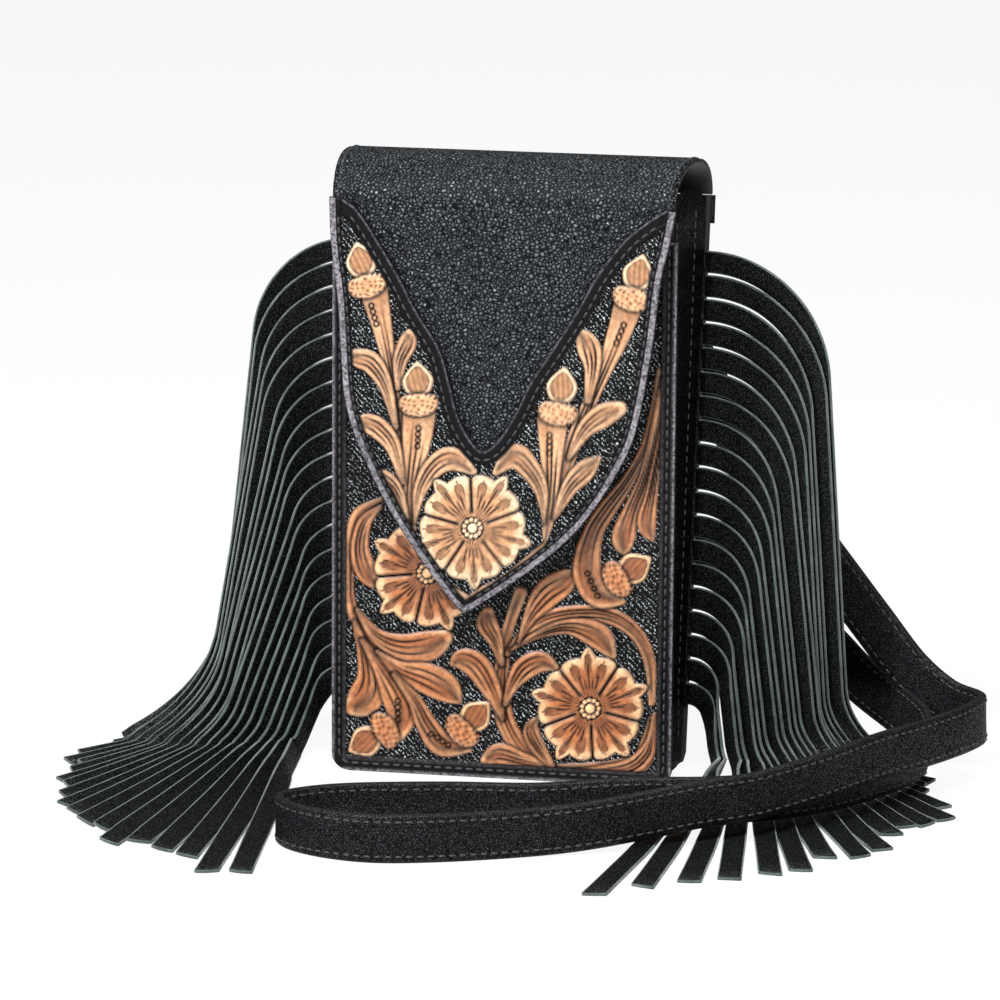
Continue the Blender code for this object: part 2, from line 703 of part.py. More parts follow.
def at_height(line, z):
    """Width of the flap's outline at height z."""
    spots = [flap_at(u, v) for u, v in line]
    for (x0, z0), (x1, z1) in zip(spots, spots[1:]):
        if z <= z1:
            return x0 + (x1 - x0) * max(0.0, z - z0) / (z1 - z0)
    return spots[-1][0]


def flap_rows():
    """Rows of the flap's outer face from its point to the hinge, each as left x, right x, y and z."""
    rows = []
    point = flap_at(*FLAP_LEFT[0])[1]
    start = point + 2.2
    for step in range(13):
        z = start + (FLAP_SHOULDER - start) * (step / 12) ** 1.35
        rows.append((at_height(FLAP_LEFT, z) + 0.5, at_height(FLAP_RIGHT, z) - 0.5, FLAP_OUTER, z))
    front_left, front_right = rows[-1][0], rows[-1][1]
    rear = HALF - GUSSET_INSET + FLARE_TOP + FLAP_OVERHANG
    middle = (FLAP_OUTER + HINGE_Y) / 2
    reach = (HINGE_Y - FLAP_OUTER) / 2
    for step in range(1, 15):
        angle = math.pi * step / 14
        share = (1 - math.cos(angle)) / 2
        base = FLAP_SHOULDER + (HINGE_Z - FLAP_SHOULDER) * share
        y = middle - reach * math.copysign(abs(math.cos(angle)) ** 0.86, math.cos(angle))
        z = base + FLAP_RISE * math.sin(angle) ** 0.86
        left = front_left + (-rear - front_left) * share
        right = front_right + (rear - front_right) * share
        rows.append((left, right, y, z))
    return rows


def flap_leather(home):
    points = []
    faces = []
    columns = 5
    rows = flap_rows()
    for left, right, y, z in rows:
        for column in range(columns):
            points.append((left + (right - left) * column / (columns - 1), y, z))
    for i in range(len(rows) - 1):
        for column in range(columns - 1):
            a = i * columns + column
            faces.append((a, a + 1, a + columns + 1, a + columns))
    made = add_mesh("flap_leather", mesh_from("flap_leather", points, faces), home)
    solidify(made, FLAP_THICK, -1)
    return made


def inset(points, distance):
    """An outline moved inward along its corners."""
    area = sum(a[0] * b[1] - b[0] * a[1] for a, b in zip(points, points[1:] + points[:1]))
    turn = 1 if area > 0 else -1
    made = []
    for i, (x, z) in enumerate(points):
        before = Vector((x - points[i - 1][0], z - points[i - 1][1])).normalized()
        after = Vector((points[(i + 1) % len(points)][0] - x, points[(i + 1) % len(points)][1] - z)).normalized()
        along = before + after
        along = along.normalized() if along.length > 0.2 else before
        lean = max(0.45, abs(along.dot(before)))
        made.append((x - along.y * turn * distance / lean, z + along.x * turn * distance / lean))
    return made


def flap_overlay(home, cutters):
    left = [flap_at(u, v) for u, v in FLAP_LEFT]
    right = [flap_at(u, v) for u, v in FLAP_RIGHT[1:]]
    notch = [flap_at(u, v) for u, v in FLAP_NOTCH]
    outline = left[::-1] + right + notch
    mesh = outline_mesh("flap_overlay", outline, OVERLAY_FRONT, OVERLAY_BACK)
    overlay = add_mesh("flap_overlay", mesh, home)
    rim = OVERLAY_RIM
    low = [(x, z) for x, z in inset(outline, rim) if z < FLAP_SHOULDER - 14]
    sunk = outline_mesh("overlay_field", low, OVERLAY_FRONT - 2, OVERLAY_FRONT + OVERLAY_SINK)
    boolean(overlay, "DIFFERENCE", add_mesh("overlay_field", sunk, cutters))
    raised = collection("flap_motifs")
    shapes = motifs(FLAP_RIBBONS, FLAP_FLOWERS, FLAP_ACORNS, flap_at)
    carve(overlay, shapes, OVERLAY_FRONT + OVERLAY_SINK, OVERLAY_RISE, lambda x, z: (x, z), raised)
    return overlay


def closure(home, cutters):
    ground = FRONT + GROUND_SINK + SNAP_SINK
    socket = disc_mesh("snap_socket", SNAP_X, SNAP_Z, SNAP_RADIUS, ground - GAP - SNAP_PLATE, ground - GAP, 32)
    bore = disc_mesh("socket_bore", SNAP_X, SNAP_Z, SOCKET_BORE, ground - 4, ground + 1, 24)
    socket = add_mesh("snap_socket", socket, home)
    boolean(socket, "DIFFERENCE", add_mesh("socket_bore", bore, cutters))
    top = FLAP_INNER + GAP
    stud = disc_mesh("snap_stud", SNAP_X, SNAP_Z, SNAP_RADIUS, top, top + SNAP_PLATE, 32)
    nub = disc_mesh("stud_nub", SNAP_X, SNAP_Z, STUD_RADIUS, top + SNAP_PLATE / 2, top + SNAP_PLATE + STUD_HEIGHT, 24)
    stud = add_mesh("snap_stud", stud, home)
    boolean(stud, "UNION", add_mesh("stud_nub", nub, cutters))
    return socket, stud


def fringe(name, side, home):
    made = add_mesh(name, fringe_mesh(name, side, 13), home)
    solidify(made, STRAND_THICK, 0)
    return made


def build():
    for thing in list(bpy.data.objects):
        bpy.data.objects.remove(thing)
    home = collection("fringed_phone_bag")
    cutters = collection("cutters")
    black = (0.02, 0.02, 0.022)
    pieces = [
        (front_panel(home, cutters), material("tooled_leather_panel", (0.48, 0.2, 0.06), 0.45)),
        (gusset(home), material("black_leather_gusset", black, 0.5)),
        (back_panel(home), material("black_leather_back", black, 0.5)),
        (back_strip(home), material("black_leather_strip", black, 0.5)),
        (flap_leather(home), material("pebbled_leather_flap", black, 0.45)),
        (flap_overlay(home, cutters), material("tooled_leather_flap", (0.72, 0.42, 0.2), 0.45)),
        (fringe("fringe_right", 1, home), material("fringe_leather_right", black, 0.55)),
        (fringe("fringe_left", -1, home), material("fringe_leather_left", black, 0.55)),
        (add_mesh("strap", strap_mesh("strap", 2), home), material("strap_leather", black, 0.5)),
    ]
    socket, stud = closure(home, cutters)
    pieces.append((socket, material("snap_socket_steel", (0.6, 0.6, 0.62), 0.3, 1.0)))
    pieces.append((stud, material("snap_stud_steel", (0.6, 0.6, 0.62), 0.3, 1.0)))
    for piece, look in pieces:
        piece.data.materials.clear()
        piece.data.materials.append(look)
    for hidden in (cutters, bpy.data.collections["panel_motifs"], bpy.data.collections["flap_motifs"]):
        for tool in hidden.objects:
            tool.hide_render = True
            tool.display_type = "WIRE"


build()
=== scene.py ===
"""Look of the fringed phone bag: carved leather, pebbled flap, suede-backed fringe, stitching, flat strap.

Lengths are in millimetres until a mesh is made. X runs across the bag, Y from its front to its back and
Z up. The lamps and the camera's distance are in metres.
"""

import math
import random

import bmesh
import bpy
import numpy as np
from mathutils import Matrix, Vector

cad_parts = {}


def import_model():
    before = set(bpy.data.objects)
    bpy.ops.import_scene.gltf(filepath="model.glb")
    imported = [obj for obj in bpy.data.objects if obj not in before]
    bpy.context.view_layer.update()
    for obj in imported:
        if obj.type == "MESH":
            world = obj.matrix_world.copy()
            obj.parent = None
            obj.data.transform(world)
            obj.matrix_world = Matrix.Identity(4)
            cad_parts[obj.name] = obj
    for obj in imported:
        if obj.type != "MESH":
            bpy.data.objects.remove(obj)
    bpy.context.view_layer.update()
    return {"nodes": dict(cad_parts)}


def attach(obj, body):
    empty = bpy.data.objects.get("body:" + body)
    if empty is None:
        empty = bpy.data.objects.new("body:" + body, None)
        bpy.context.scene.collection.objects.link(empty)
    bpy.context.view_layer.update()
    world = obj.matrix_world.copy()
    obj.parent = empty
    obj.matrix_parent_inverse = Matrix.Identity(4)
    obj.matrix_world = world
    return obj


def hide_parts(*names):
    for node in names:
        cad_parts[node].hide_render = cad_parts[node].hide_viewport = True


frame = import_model()

MM = 0.001

# Sizes of the solids
BAG_WIDTH = 111.0
BODY_HEIGHT = 184.0
DEPTH_BOTTOM = 24.0
DEPTH_TOP = 48.0
FLARE_BOTTOM = 1.0
FLARE_TOP = 3.0
CORNER_RADIUS = 6.0
GAP = 0.3
PANEL_THICK = 3.0
PANEL_TOP = BODY_HEIGHT - 8.0
PANEL_RIM = 4.8
GROUND_SINK = 0.6
CARVE_RISE = 0.9
GUSSET_INSET = 1.2
GUSSET_RISE = 5.0
GUSSET_THICK = 2.0
BACK_THICK = 2.2
BACK_OVERHANG = 0.8
STRIP_HEIGHT = 9.0
STRIP_THICK = 1.6
STRIP_OVERHANG = 1.0
FLAP_LIFT = 3.2
FLAP_THICK = 1.8
FLAP_SHOULDER = BODY_HEIGHT + 2.0
FLAP_RISE = 14.0
FLAP_OVERHANG = 0.8
HINGE_CLEAR = 0.4
OVERLAY_THICK = 2.2
OVERLAY_GAP = 0.3
OVERLAY_RISE = 0.7
OVERLAY_SINK = 0.5
STRANDS = 19
STRAND_WIDTH = 7.1
STRAND_THICK = 0.9
STRAND_LENGTH = 196.0
FRINGE_TOP = 167.0
FRINGE_BOTTOM = 22.0
HEADER_WIDTH = 5.0
STRAP_WIDTH = 15.0
STRAP_THICK = 2.6
STRAP_ON_FLOOR = 0.1
STRAP_ON_STRANDS = 4.6

HALF = BAG_WIDTH / 2
FRONT = -DEPTH_BOTTOM / 2
BACK_BOTTOM = DEPTH_BOTTOM / 2
LEAN = (DEPTH_TOP - DEPTH_BOTTOM) / BODY_HEIGHT
BACK_TOP = BACK_BOTTOM + LEAN * BODY_HEIGHT
PANEL_BACK = FRONT + PANEL_THICK
FLAP_INNER = FRONT - FLAP_LIFT
FLAP_OUTER = FLAP_INNER - FLAP_THICK
OVERLAY_BACK = FLAP_OUTER - OVERLAY_GAP
OVERLAY_FRONT = OVERLAY_BACK - OVERLAY_THICK
HINGE_Y = BACK_TOP + GAP + STRIP_THICK + 0.2
HINGE_Z = BODY_HEIGHT + HINGE_CLEAR


# Materials


def colour(code):
    """The linear value of a colour written as it looks on a screen."""
    parts = [int(code[i : i + 2], 16) / 255 for i in (1, 3, 5)]
    linear = [p / 12.92 if p <= 0.04045 else ((p + 0.055) / 1.055) ** 2.4 for p in parts]
    return (*linear, 1.0)


def new_material(name):
    made = bpy.data.materials.new(name)
    made.use_nodes = True
    return made, made.node_tree, made.node_tree.nodes["Principled BSDF"]


def feed(tree, node, inputs):
    """Sets the inputs of a node. A socket given as a value is linked."""
    for key, value in inputs.items():
        if isinstance(value, bpy.types.NodeSocket):
            tree.links.new(value, node.inputs[key])
        else:
            node.inputs[key].default_value = value


def add(tree, kind, inputs, output=0, stops=(), **settings):
    """Adds one node with its settings and links and returns one of its outputs.

    stops are a colour ramp's (place, colour or grey number). A colour Mix has its colours at inputs 6 and 7
    and their blend at output 2.
    """
    made = tree.nodes.new("ShaderNode" + kind)
    for key, value in settings.items():
        setattr(made, key, value)
    if stops:
        points = made.color_ramp.elements
        while len(points) < len(stops):
            points.new(0.5)
        for point, (place, look) in zip(points, stops):
            point.position = place
            point.color = colour(look) if isinstance(look, str) else (look, look, look, 1.0)
    feed(tree, made, inputs)
    return made.outputs[output]


def wobbled(tree, size, amount):
    """Object coordinates pushed about by a noise of that size, both in millimetres."""
    place = add(tree, "TexCoord", {}, "Object")
    cloud = add(tree, "TexNoise", {"Vector": place, "Scale": 1 / (size * MM), "Detail": 2.0}, "Color")
    push = add(tree, "VectorMath", {0: cloud, 1: (0.5, 0.5, 0.5)}, operation="SUBTRACT")
    scaled = add(tree, "VectorMath", {0: push, "Scale": amount * MM * 2}, operation="SCALE")
    return add(tree, "VectorMath", {0: place, 1: scaled}, operation="ADD")


def leather(name, dark, light, cell, depth, rough, shine=0.5):
    """Dyed leather: small raised pebbles with creases between them, with a painted highlight on the pebble
    tops and painted shade in the creases. cell is the size of a pebble.
    """
    made, tree, shader = new_material(name)
    place = wobbled(tree, cell * 1.6, cell * 0.35)
    cells = {"Vector": place, "Scale": 1 / (cell * MM)}
    crease = add(tree, "TexVoronoi", cells, "Distance", feature="DISTANCE_TO_EDGE")
    pebble = add(tree, "ValToRGB", {"Fac": crease}, stops=[(0.06, 0.0), (0.2, 0.3), (0.4, 1.0)])
    fine = add(tree, "TexNoise", {"Vector": place, "Scale": 1 / (cell * 0.3 * MM), "Detail": 3.0}, "Fac")
    broad = add(tree, "TexNoise", {"Vector": place, "Scale": 1 / (14 * MM), "Detail": 3.0}, "Fac")
    height = add(tree, "Mix", {0: 0.2, 6: pebble, 7: fine}, 2, data_type="RGBA")
    specks = add(tree, "ValToRGB", {"Fac": fine}, stops=[(0.3, 0.5), (0.6, 1.0)])
    patches = add(tree, "ValToRGB", {"Fac": broad}, stops=[(0.3, 0.8), (0.7, 1.0)])
    patchy = add(tree, "Math", {0: specks, 1: patches}, operation="MULTIPLY")
    # The colour follows the pebbles: painted highlight on their tops, painted shade in the creases.
    tone = add(tree, "Math", {0: pebble, 1: patchy}, operation="MULTIPLY")
    feed(tree, shader, {
        "Normal": add(tree, "Bump", {"Height": height, "Strength": 1.0, "Distance": depth * MM}),
        "Base Color": add(tree, "Mix", {0: tone, 6: colour(dark), 7: colour(light)}, 2, data_type="RGBA"),
        "Roughness": add(tree, "ValToRGB", {"Fac": tone}, stops=[(0.1, rough + 0.25), (0.5, rough)]),
        "Specular IOR Level": add(tree, "ValToRGB", {"Fac": tone}, stops=[(0.0, shine * 0.1), (0.6, shine)]),
    })
    return made


def suede(name, dark, light, depth):
    """The flesh side of the leather: short fibres with no gloss."""
    made, tree, shader = new_material(name)
    place = wobbled(tree, 1.5, 0.5)
    fibre = add(tree, "TexNoise", {"Vector": place, "Scale": 1 / (0.35 * MM), "Detail": 4.0}, "Fac")
    cloud = add(tree, "TexNoise", {"Vector": place, "Scale": 1 / (6 * MM), "Detail": 3.0}, "Fac")
    tone = add(tree, "Mix", {0: 0.45, 6: fibre, 7: cloud}, 2, data_type="RGBA")
    feed(tree, shader, {
        "Base Color": add(tree, "ValToRGB", {"Fac": tone}, stops=[(0.32, dark), (0.68, light)]),
        "Normal": add(tree, "Bump", {"Height": fibre, "Strength": 1.0, "Distance": depth * MM}),
        "Roughness": 0.95,
        "Specular IOR Level": 0.2,
        "Sheen Weight": 0.35,
        "Sheen Roughness": 0.5,
    })
    return made


def carved_leather(name):
    """Tooled leather. The mesh says where it is tan, dyed and stippled, or on the grey edge stripe; its tint
    carries painted highlights. The grain is added here.
    """
    made, tree, shader = new_material(name)
    tint = add(tree, "Attribute", {}, "Color", attribute_name="tint")
    ground = add(tree, "Attribute", {}, "Fac", attribute_name="ground")
    stripe = add(tree, "Attribute", {}, "Fac", attribute_name="stripe")
    place = wobbled(tree, 2.2, 0.9)
    # Rows of small backgrounder stamps, painted as pale silver dashes: a painted highlight where they catch
    # the light.
    waves = {"Vector": place, "Scale": 1 / (2.9 * MM), "Distortion": 3.0, "Detail": 2.0}
    waves["Detail Scale"] = 2.0
    hatch = add(tree, "TexWave", waves, "Fac", wave_type="BANDS", bands_direction="DIAGONAL")
    dots = add(tree, "TexVoronoi", {"Vector": place, "Scale": 1 / (0.62 * MM)}, "Distance")
    rows = add(tree, "ValToRGB", {"Fac": hatch}, stops=[(0.45, 0.0), (0.75, 1.0)])
    stamps = add(tree, "ValToRGB", {"Fac": dots}, stops=[(0.22, 1.0), (0.5, 0.0)])
    dash = add(tree, "Math", {0: rows, 1: stamps}, operation="MULTIPLY")
    stamped = add(tree, "Math", {0: dash, 1: ground}, operation="MULTIPLY")
    patch = add(tree, "TexNoise", {"Vector": place, "Scale": 1 / (5 * MM), "Detail": 2.0}, "Fac")
    patchy = add(tree, "ValToRGB", {"Fac": patch}, stops=[(0.3, 0.35), (0.65, 1.0)])
    dash_highlight = add(tree, "Math", {0: stamped, 1: patchy}, operation="MULTIPLY")
    mottle = add(tree, "TexNoise", {"Vector": place, "Scale": 1 / (1.6 * MM), "Detail": 4.0}, "Fac")
    blotch = add(tree, "ValToRGB", {"Fac": mottle}, stops=[(0.3, 0.5), (0.7, 0.0)])
    stain = {0: blotch, 6: tint, 7: colour("#5A3018")}
    grained = add(tree, "Mix", stain, 2, data_type="RGBA", blend_type="MULTIPLY")
    dyed = add(tree, "Math", {0: ground, 1: stripe}, operation="MAXIMUM")
    plain = add(tree, "Mix", {0: dyed, 6: grained, 7: tint}, 2, data_type="RGBA")
    dash_highlighted = add(tree, "Mix", {0: dash_highlight, 6: plain, 7: colour("#C6CCD0")}, 2, data_type="RGBA")
    # The edge stripe: grey from edge wear, with painted glints in the light specks of this noise.
    scuff_and_glint_noise = add(tree, "TexNoise", {"Vector": place, "Scale": 1 / (0.9 * MM), "Detail": 5.0}, "Fac")
    worn_edge_and_glints = add(tree, "ValToRGB", {"Fac": scuff_and_glint_noise}, stops=[(0.36, "#2A282B"), (0.66, "#8B868E")])
    pore = add(tree, "TexNoise", {"Vector": place, "Scale": 1 / (0.45 * MM), "Detail": 3.0}, "Fac")
    pores = add(tree, "Math", {0: pore, 1: 0.25}, operation="MULTIPLY")
    height = add(tree, "Math", {0: pores, 1: stamped}, operation="ADD")
    # Black dye shines less than tan leather.
    grey = add(tree, "RGBToBW", {"Color": tint}, "Val")
    bright = add(tree, "Math", {0: grey, 1: 12.0}, operation="MULTIPLY")
    gloss = add(tree, "ValToRGB", {"Fac": bright}, stops=[(0.0, 0.08), (1.0, 0.5)])
    band = add(tree, "Math", {0: stripe, 1: 0.4}, operation="MULTIPLY")
    feed(tree, shader, {
        "Base Color": add(tree, "Mix", {0: stripe, 6: dash_highlighted, 7: worn_edge_and_glints}, 2, data_type="RGBA"),
        "Normal": add(tree, "Bump", {"Height": height, "Strength": 1.0, "Distance": 0.16 * MM}),
        "Roughness": add(tree, "ValToRGB", {"Fac": ground}, stops=[(0.0, 0.42), (1.0, 0.52)]),
        "Specular IOR Level": add(tree, "Math", {0: gloss, 1: band}, operation="MAXIMUM"),
    })
    return made


def thread(name, code):
    """Waxed thread: fine dark and light strands and little gloss."""
    made, tree, shader = new_material(name)
    place = add(tree, "TexCoord", {}, "Object")
    twist = add(tree, "TexNoise", {"Vector": place, "Scale": 1 / (0.3 * MM), "Detail": 2.0}, "Fac")
    feed(tree, shader, {
        "Base Color": add(tree, "ValToRGB", {"Fac": twist}, stops=[(0.3, code), (0.75, "#3A3B3E")]),
        "Normal": add(tree, "Bump", {"Height": twist, "Strength": 1.0, "Distance": 0.05 * MM}),
        "Roughness": 0.6,
    })
    return made


def steel(name):
    """Plated steel: bright metal with faint smears."""
    made, tree, shader = new_material(name)
    place = add(tree, "TexCoord", {}, "Object")
    smear = add(tree, "TexNoise", {"Vector": place, "Scale": 1 / (2 * MM), "Detail": 4.0}, "Fac")
    feed(tree, shader, {
        "Base Color": add(tree, "ValToRGB", {"Fac": smear}, stops=[(0.3, "#8C8D90"), (0.7, "#C9CACC")]),
        "Roughness": add(tree, "ValToRGB", {"Fac": smear}, stops=[(0.3, 0.22), (0.7, 0.38)]),
        "Metallic": 1.0,
    })
    return made


# The second colour of each leather below is the painted highlight on its pebble tops.
PEBBLED = leather("pebbled_black_leather", "#000000", "#636C75", 1.2, 0.65, 0.3, 1.0)
SMOOTH = leather("smooth_black_leather", "#08080A", "#25282C", 0.8, 0.08, 0.42, 0.4)
# A darker copy of the black leather for the gusset: painted shade on the sides of the bag.
SHADED = leather("gusset_black_leather_painted_shade", "#010101", "#08090A", 0.8, 0.1, 0.5, 0.2)
GRAIN = leather("fringe_grain_side", "#050607", "#1D2124", 0.8, 0.08, 0.4, 0.45)
FLESH = suede("fringe_flesh_side", "#111615", "#2B3432", 0.12)
CUT_EDGE = suede("fringe_cut_edge", "#1D2523", "#5A6661", 0.1)
LINING = suede("lining_flesh_side", "#17181A", "#2B2D30", 0.08)
EDGE_PAINT = leather("painted_leather_edge", "#0C0C0E", "#3A3A3E", 0.5, 0.05, 0.4, 0.5)
CARVED = carved_leather("carved_tooling_leather")
THREAD = thread("waxed_black_thread", "#0B0B0D")
STEEL = steel("nickel_plated_steel")


# Small helpers


def back_y(z):
    return BACK_BOTTOM + LEAN * z


def flare(z):
    return FLARE_BOTTOM + (FLARE_TOP - FLARE_BOTTOM) * max(0.0, min(1.0, z / BODY_HEIGHT))


def smooth_path(points, steps):
    """A smooth curve through control points of any number of values each."""
    ends = [points[0]] + list(points) + [points[-1]]
    made = []
    for i in range(1, len(ends) - 2):
        a, b, c, d = ends[i - 1], ends[i], ends[i + 1], ends[i + 2]
        for k in range(steps):
            t = k / steps
            spot = []
            for p, q, r, s in zip(a, b, c, d):
                square = (2 * p - 5 * q + 4 * r - s) * t**2
                spot.append(0.5 * (2 * q + (r - p) * t + square + (3 * q - p - 3 * r + s) * t**3))
            made.append(tuple(spot))
    made.append(tuple(points[-1]))
    return made


def piece(name, points, faces, materials, body, choose=None, replaces=()):
    """A new smooth object from points in millimetres. choose gives the material's number for each face."""
    mesh = bpy.data.meshes.new(name)
    mesh.from_pydata([tuple(c * MM for c in p) for p in points], [], faces)
    for look in materials:
        mesh.materials.append(look)
    if choose is not None:
        mesh.polygons.foreach_set("material_index", choose)
    made = bpy.data.objects.new(name, mesh)
    bpy.context.scene.collection.objects.link(made)
    work = bmesh.new()
    work.from_mesh(mesh)
    bmesh.ops.recalc_face_normals(work, faces=work.faces)
    for face in work.faces:
        face.smooth = True
    work.to_mesh(mesh)
    work.free()
    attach(made, body)
    if replaces:
        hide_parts(*replaces)


def resample(points, count):
    """count points at equal distances along a line."""
    points = np.array(points, float)
    steps = np.r_[0, np.cumsum(np.linalg.norm(np.diff(points, axis=0), axis=1))]
    wanted = np.linspace(0, steps[-1], count)
    return np.stack([np.interp(wanted, steps, points[:, k]) for k in range(points.shape[1])], axis=1)


def line_length(points):
    points = np.array(points, float)
    return float(np.linalg.norm(np.diff(points[:, :3], axis=0), axis=1).sum())


def stitches(name, rows, body, pitch, long, thick=0.4):
    """Thread stitches along lines. Each row is a list of (x, y, z, outward x, y, z).

    Each stitch is three short six-sided lengths whose ends dip into the leather.
    """
    sides = 6
    rings = ((-0.5, 0.4, -0.8), (-0.3, 1.0, -0.2), (0.3, 1.0, -0.2), (0.5, 0.4, -0.8))
    points = []
    faces = []
    for row in rows:
        count = max(2, round(line_length(row) / pitch))
        spots = resample(row, 2 * count + 1)
        for k in range(count):
            middle = Vector(spots[2 * k + 1][:3])
            along = Vector(spots[2 * k + 2][:3]) - Vector(spots[2 * k][:3])
            along.normalize()
            out = Vector(spots[2 * k + 1][3:])
            out = (out - along * out.dot(along)).normalized()
            across = along.cross(out)
            first = len(points)
            for share, size, lift in rings:
                for side in range(sides):
                    angle = math.pi / 3 * side
                    spot = middle + along * share * long + out * thick * lift
                    spot += (across * math.cos(angle) + out * math.sin(angle)) * thick * size
                    points.append(tuple(spot))
            last = first + (len(rings) - 1) * sides
            for start in range(first, last, sides):
                for side in range(sides):
                    a, b = start + side, start + (side + 1) % sides
                    faces.append((a, b, b + sides, a + sides))
            faces += [tuple(end + side for side in range(sides)) for end in (first, last)]
    piece(name, points, faces, [THREAD], body)


# The carving is drawn on a grid read off the photograph: u runs right and v runs down. A ribbon is
# a row of (u, v, half width), a flower (u, v, radius, turn) and an acorn (cap u, cap v, nut u, nut v).
RIBBON_FULLNESS = 1.2
PANEL_RIBBONS = [
    [
        (380, 499, 3), (357, 513, 5), (349, 540, 5), (348, 575, 4), (350, 605, 5), (366, 640, 5),
        (392, 672, 4),
    ],
    [(379, 507, 3), (364, 522, 6), (359, 548, 8), (366, 572, 9), (378, 587, 2)],
    [(357, 610, 3), (375, 634, 6), (400, 646, 11), (428, 645, 13), (446, 636, 6)],
    [(354, 622, 3), (363, 650, 6), (369, 678, 11), (365, 697, 15), (352, 707, 7)],
    [(362, 640, 3), (381, 668, 7), (396, 693, 13), (402, 714, 13), (394, 734, 9)],
    [(376, 650, 2), (400, 668, 7), (426, 677, 13), (446, 687, 12), (460, 701, 2)],
    [(394, 674, 3), (415, 700, 6), (427, 724, 9), (443, 744, 10), (470, 748, 3)],
    [
        (556, 766, 3), (527, 752, 8), (507, 722, 8), (501, 690, 8), (503, 658, 6), (508, 628, 5),
        (520, 592, 6),
    ],
    [(502, 662, 3), (496, 640, 6), (487, 622, 9), (488, 611, 5)],
    [(503, 716, 3), (493, 690, 8), (478, 666, 11), (463, 658, 9), (453, 662, 3)],
    [
        (508, 652, 3), (525, 630, 5), (550, 616, 7), (585, 611, 7), (615, 616, 7), (638, 634, 6),
        (650, 662, 5), (652, 700, 3),
    ],
    [(512, 648, 2), (540, 632, 4), (570, 625, 7), (598, 634, 11), (613, 654, 3)],
    [(506, 702, 3), (514, 682, 6), (525, 667, 10), (541, 660, 9), (556, 666, 3)],
    [(519, 640, 2), (530, 615, 6), (546, 593, 12), (562, 581, 11), (574, 571, 2)],
    [(552, 765, 3), (522, 758, 7), (500, 752, 9), (487, 759, 5)],
    [(560, 764, 3), (606, 764, 5), (640, 760, 9), (650, 735, 6), (651, 715, 2)],
    [(554, 764, 3), (541, 748, 6), (532, 730, 7), (536, 717, 2)],
    [
        (655, 372, 3), (651, 410, 4), (643, 448, 5), (625, 482, 6), (606, 508, 8), (592, 532, 9),
        (586, 566, 12), (597, 592, 11), (622, 600, 3),
    ],
    [(660, 380, 3), (655, 420, 5), (644, 472, 5), (629, 510, 7), (622, 536, 10), (624, 551, 3)],
    [(664, 400, 3), (658, 440, 3), (650, 490, 5), (645, 522, 8), (651, 538, 2)],
]
PANEL_FLOWERS = [(591, 706, 61, -0.37), (427, 572, 62, -0.08)]
PANEL_ACORNS = [(617, 577, 634, 566), (384, 730, 364, 742), (463, 729, 477, 714)]

FLAP_RIBBONS = [
    [
        (376, 288, 13), (384, 322, 9), (392, 362, 6), (399, 410, 5), (404, 460, 6), (410, 505, 6),
        (418, 541, 2),
    ],
    [(423, 408, 15), (420, 442, 12), (416, 476, 8), (414, 510, 6), (418, 540, 2)],
    [
        (631, 306, 13), (621, 336, 10), (609, 366, 7), (594, 400, 6), (578, 440, 7), (565, 482, 6),
        (551, 538, 2),
    ],
    [(557, 418, 14), (556, 450, 10), (556, 482, 7), (554, 512, 6), (550, 540, 2)],
    [(399, 425, 3), (389, 385, 6), (375, 362, 9), (361, 356, 8), (350, 354, 3)],
    [(406, 480, 3), (396, 444, 7), (382, 427, 9), (370, 421, 8), (361, 418, 3)],
    [(411, 522, 3), (401, 492, 6), (389, 477, 7), (378, 471, 2)],
    [(401, 386, 3), (403, 360, 6), (410, 342, 8), (412, 332, 4)],
    [(419, 520, 2), (424, 488, 6), (438, 465, 9), (456, 457, 10), (478, 470, 3)],
    [(592, 398, 4), (596, 366, 7), (592, 346, 10), (584, 332, 4)],
    [(574, 455, 3), (589, 428, 7), (607, 414, 10), (624, 407, 6)],
    [(560, 515, 3), (574, 486, 7), (589, 469, 9), (604, 456, 2)],
    [(549, 520, 2), (546, 488, 6), (533, 465, 9), (518, 454, 10), (500, 470, 3)],
    [(550, 541, 2), (536, 561, 7), (512, 580, 7), (488, 592, 6), (474, 597, 3)],
    [(474, 598, 3), (455, 587, 4), (440, 573, 4), (428, 558, 2)],
]
FLAP_FLOWERS = [(477, 526, 62, 0.27)]
FLAP_ACORNS = [(369, 283, 363, 259), (422, 401, 421, 378), (635, 297, 641, 273), (562, 410, 566, 384)]

FLAP_LEFT = [
    (468, 612), (455, 598), (430, 565), (400, 520), (378, 480), (360, 440),
    (350, 410), (345, 380), (340, 300), (333, 242), (331, 196),
]
FLAP_RIGHT = [
    (468, 612), (482, 605), (520, 580), (560, 550), (590, 520), (620, 475),
    (640, 430), (655, 350), (663, 283), (671, 247), (677, 214),
]
FLAP_NOTCH = [
    (666, 213), (648, 224), (625, 243), (600, 275), (579, 312), (557, 346), (534, 381), (520, 410),
    (504, 436), (488, 449), (476, 440), (462, 415), (453, 381), (442, 346), (419, 309), (404, 280),
    (384, 246), (361, 211), (346, 199),
]

RING_STAMPS_PANEL = [((587, 572), (597, 594)), ((398, 700), (398, 719)), ((432, 733), (449, 744))]
CORNER_RIBBON = [(655, 712, 3), (652, 735, 4), (646, 752, 7), (628, 765, 7), (590, 769, 4), (560, 769, 3)]
RING_STAMPS_FLAP = [
    ((374, 304), (379, 322)), ((422, 426), (421, 444)), ((627, 324), (620, 342)), ((554, 433), (554, 451)),
]


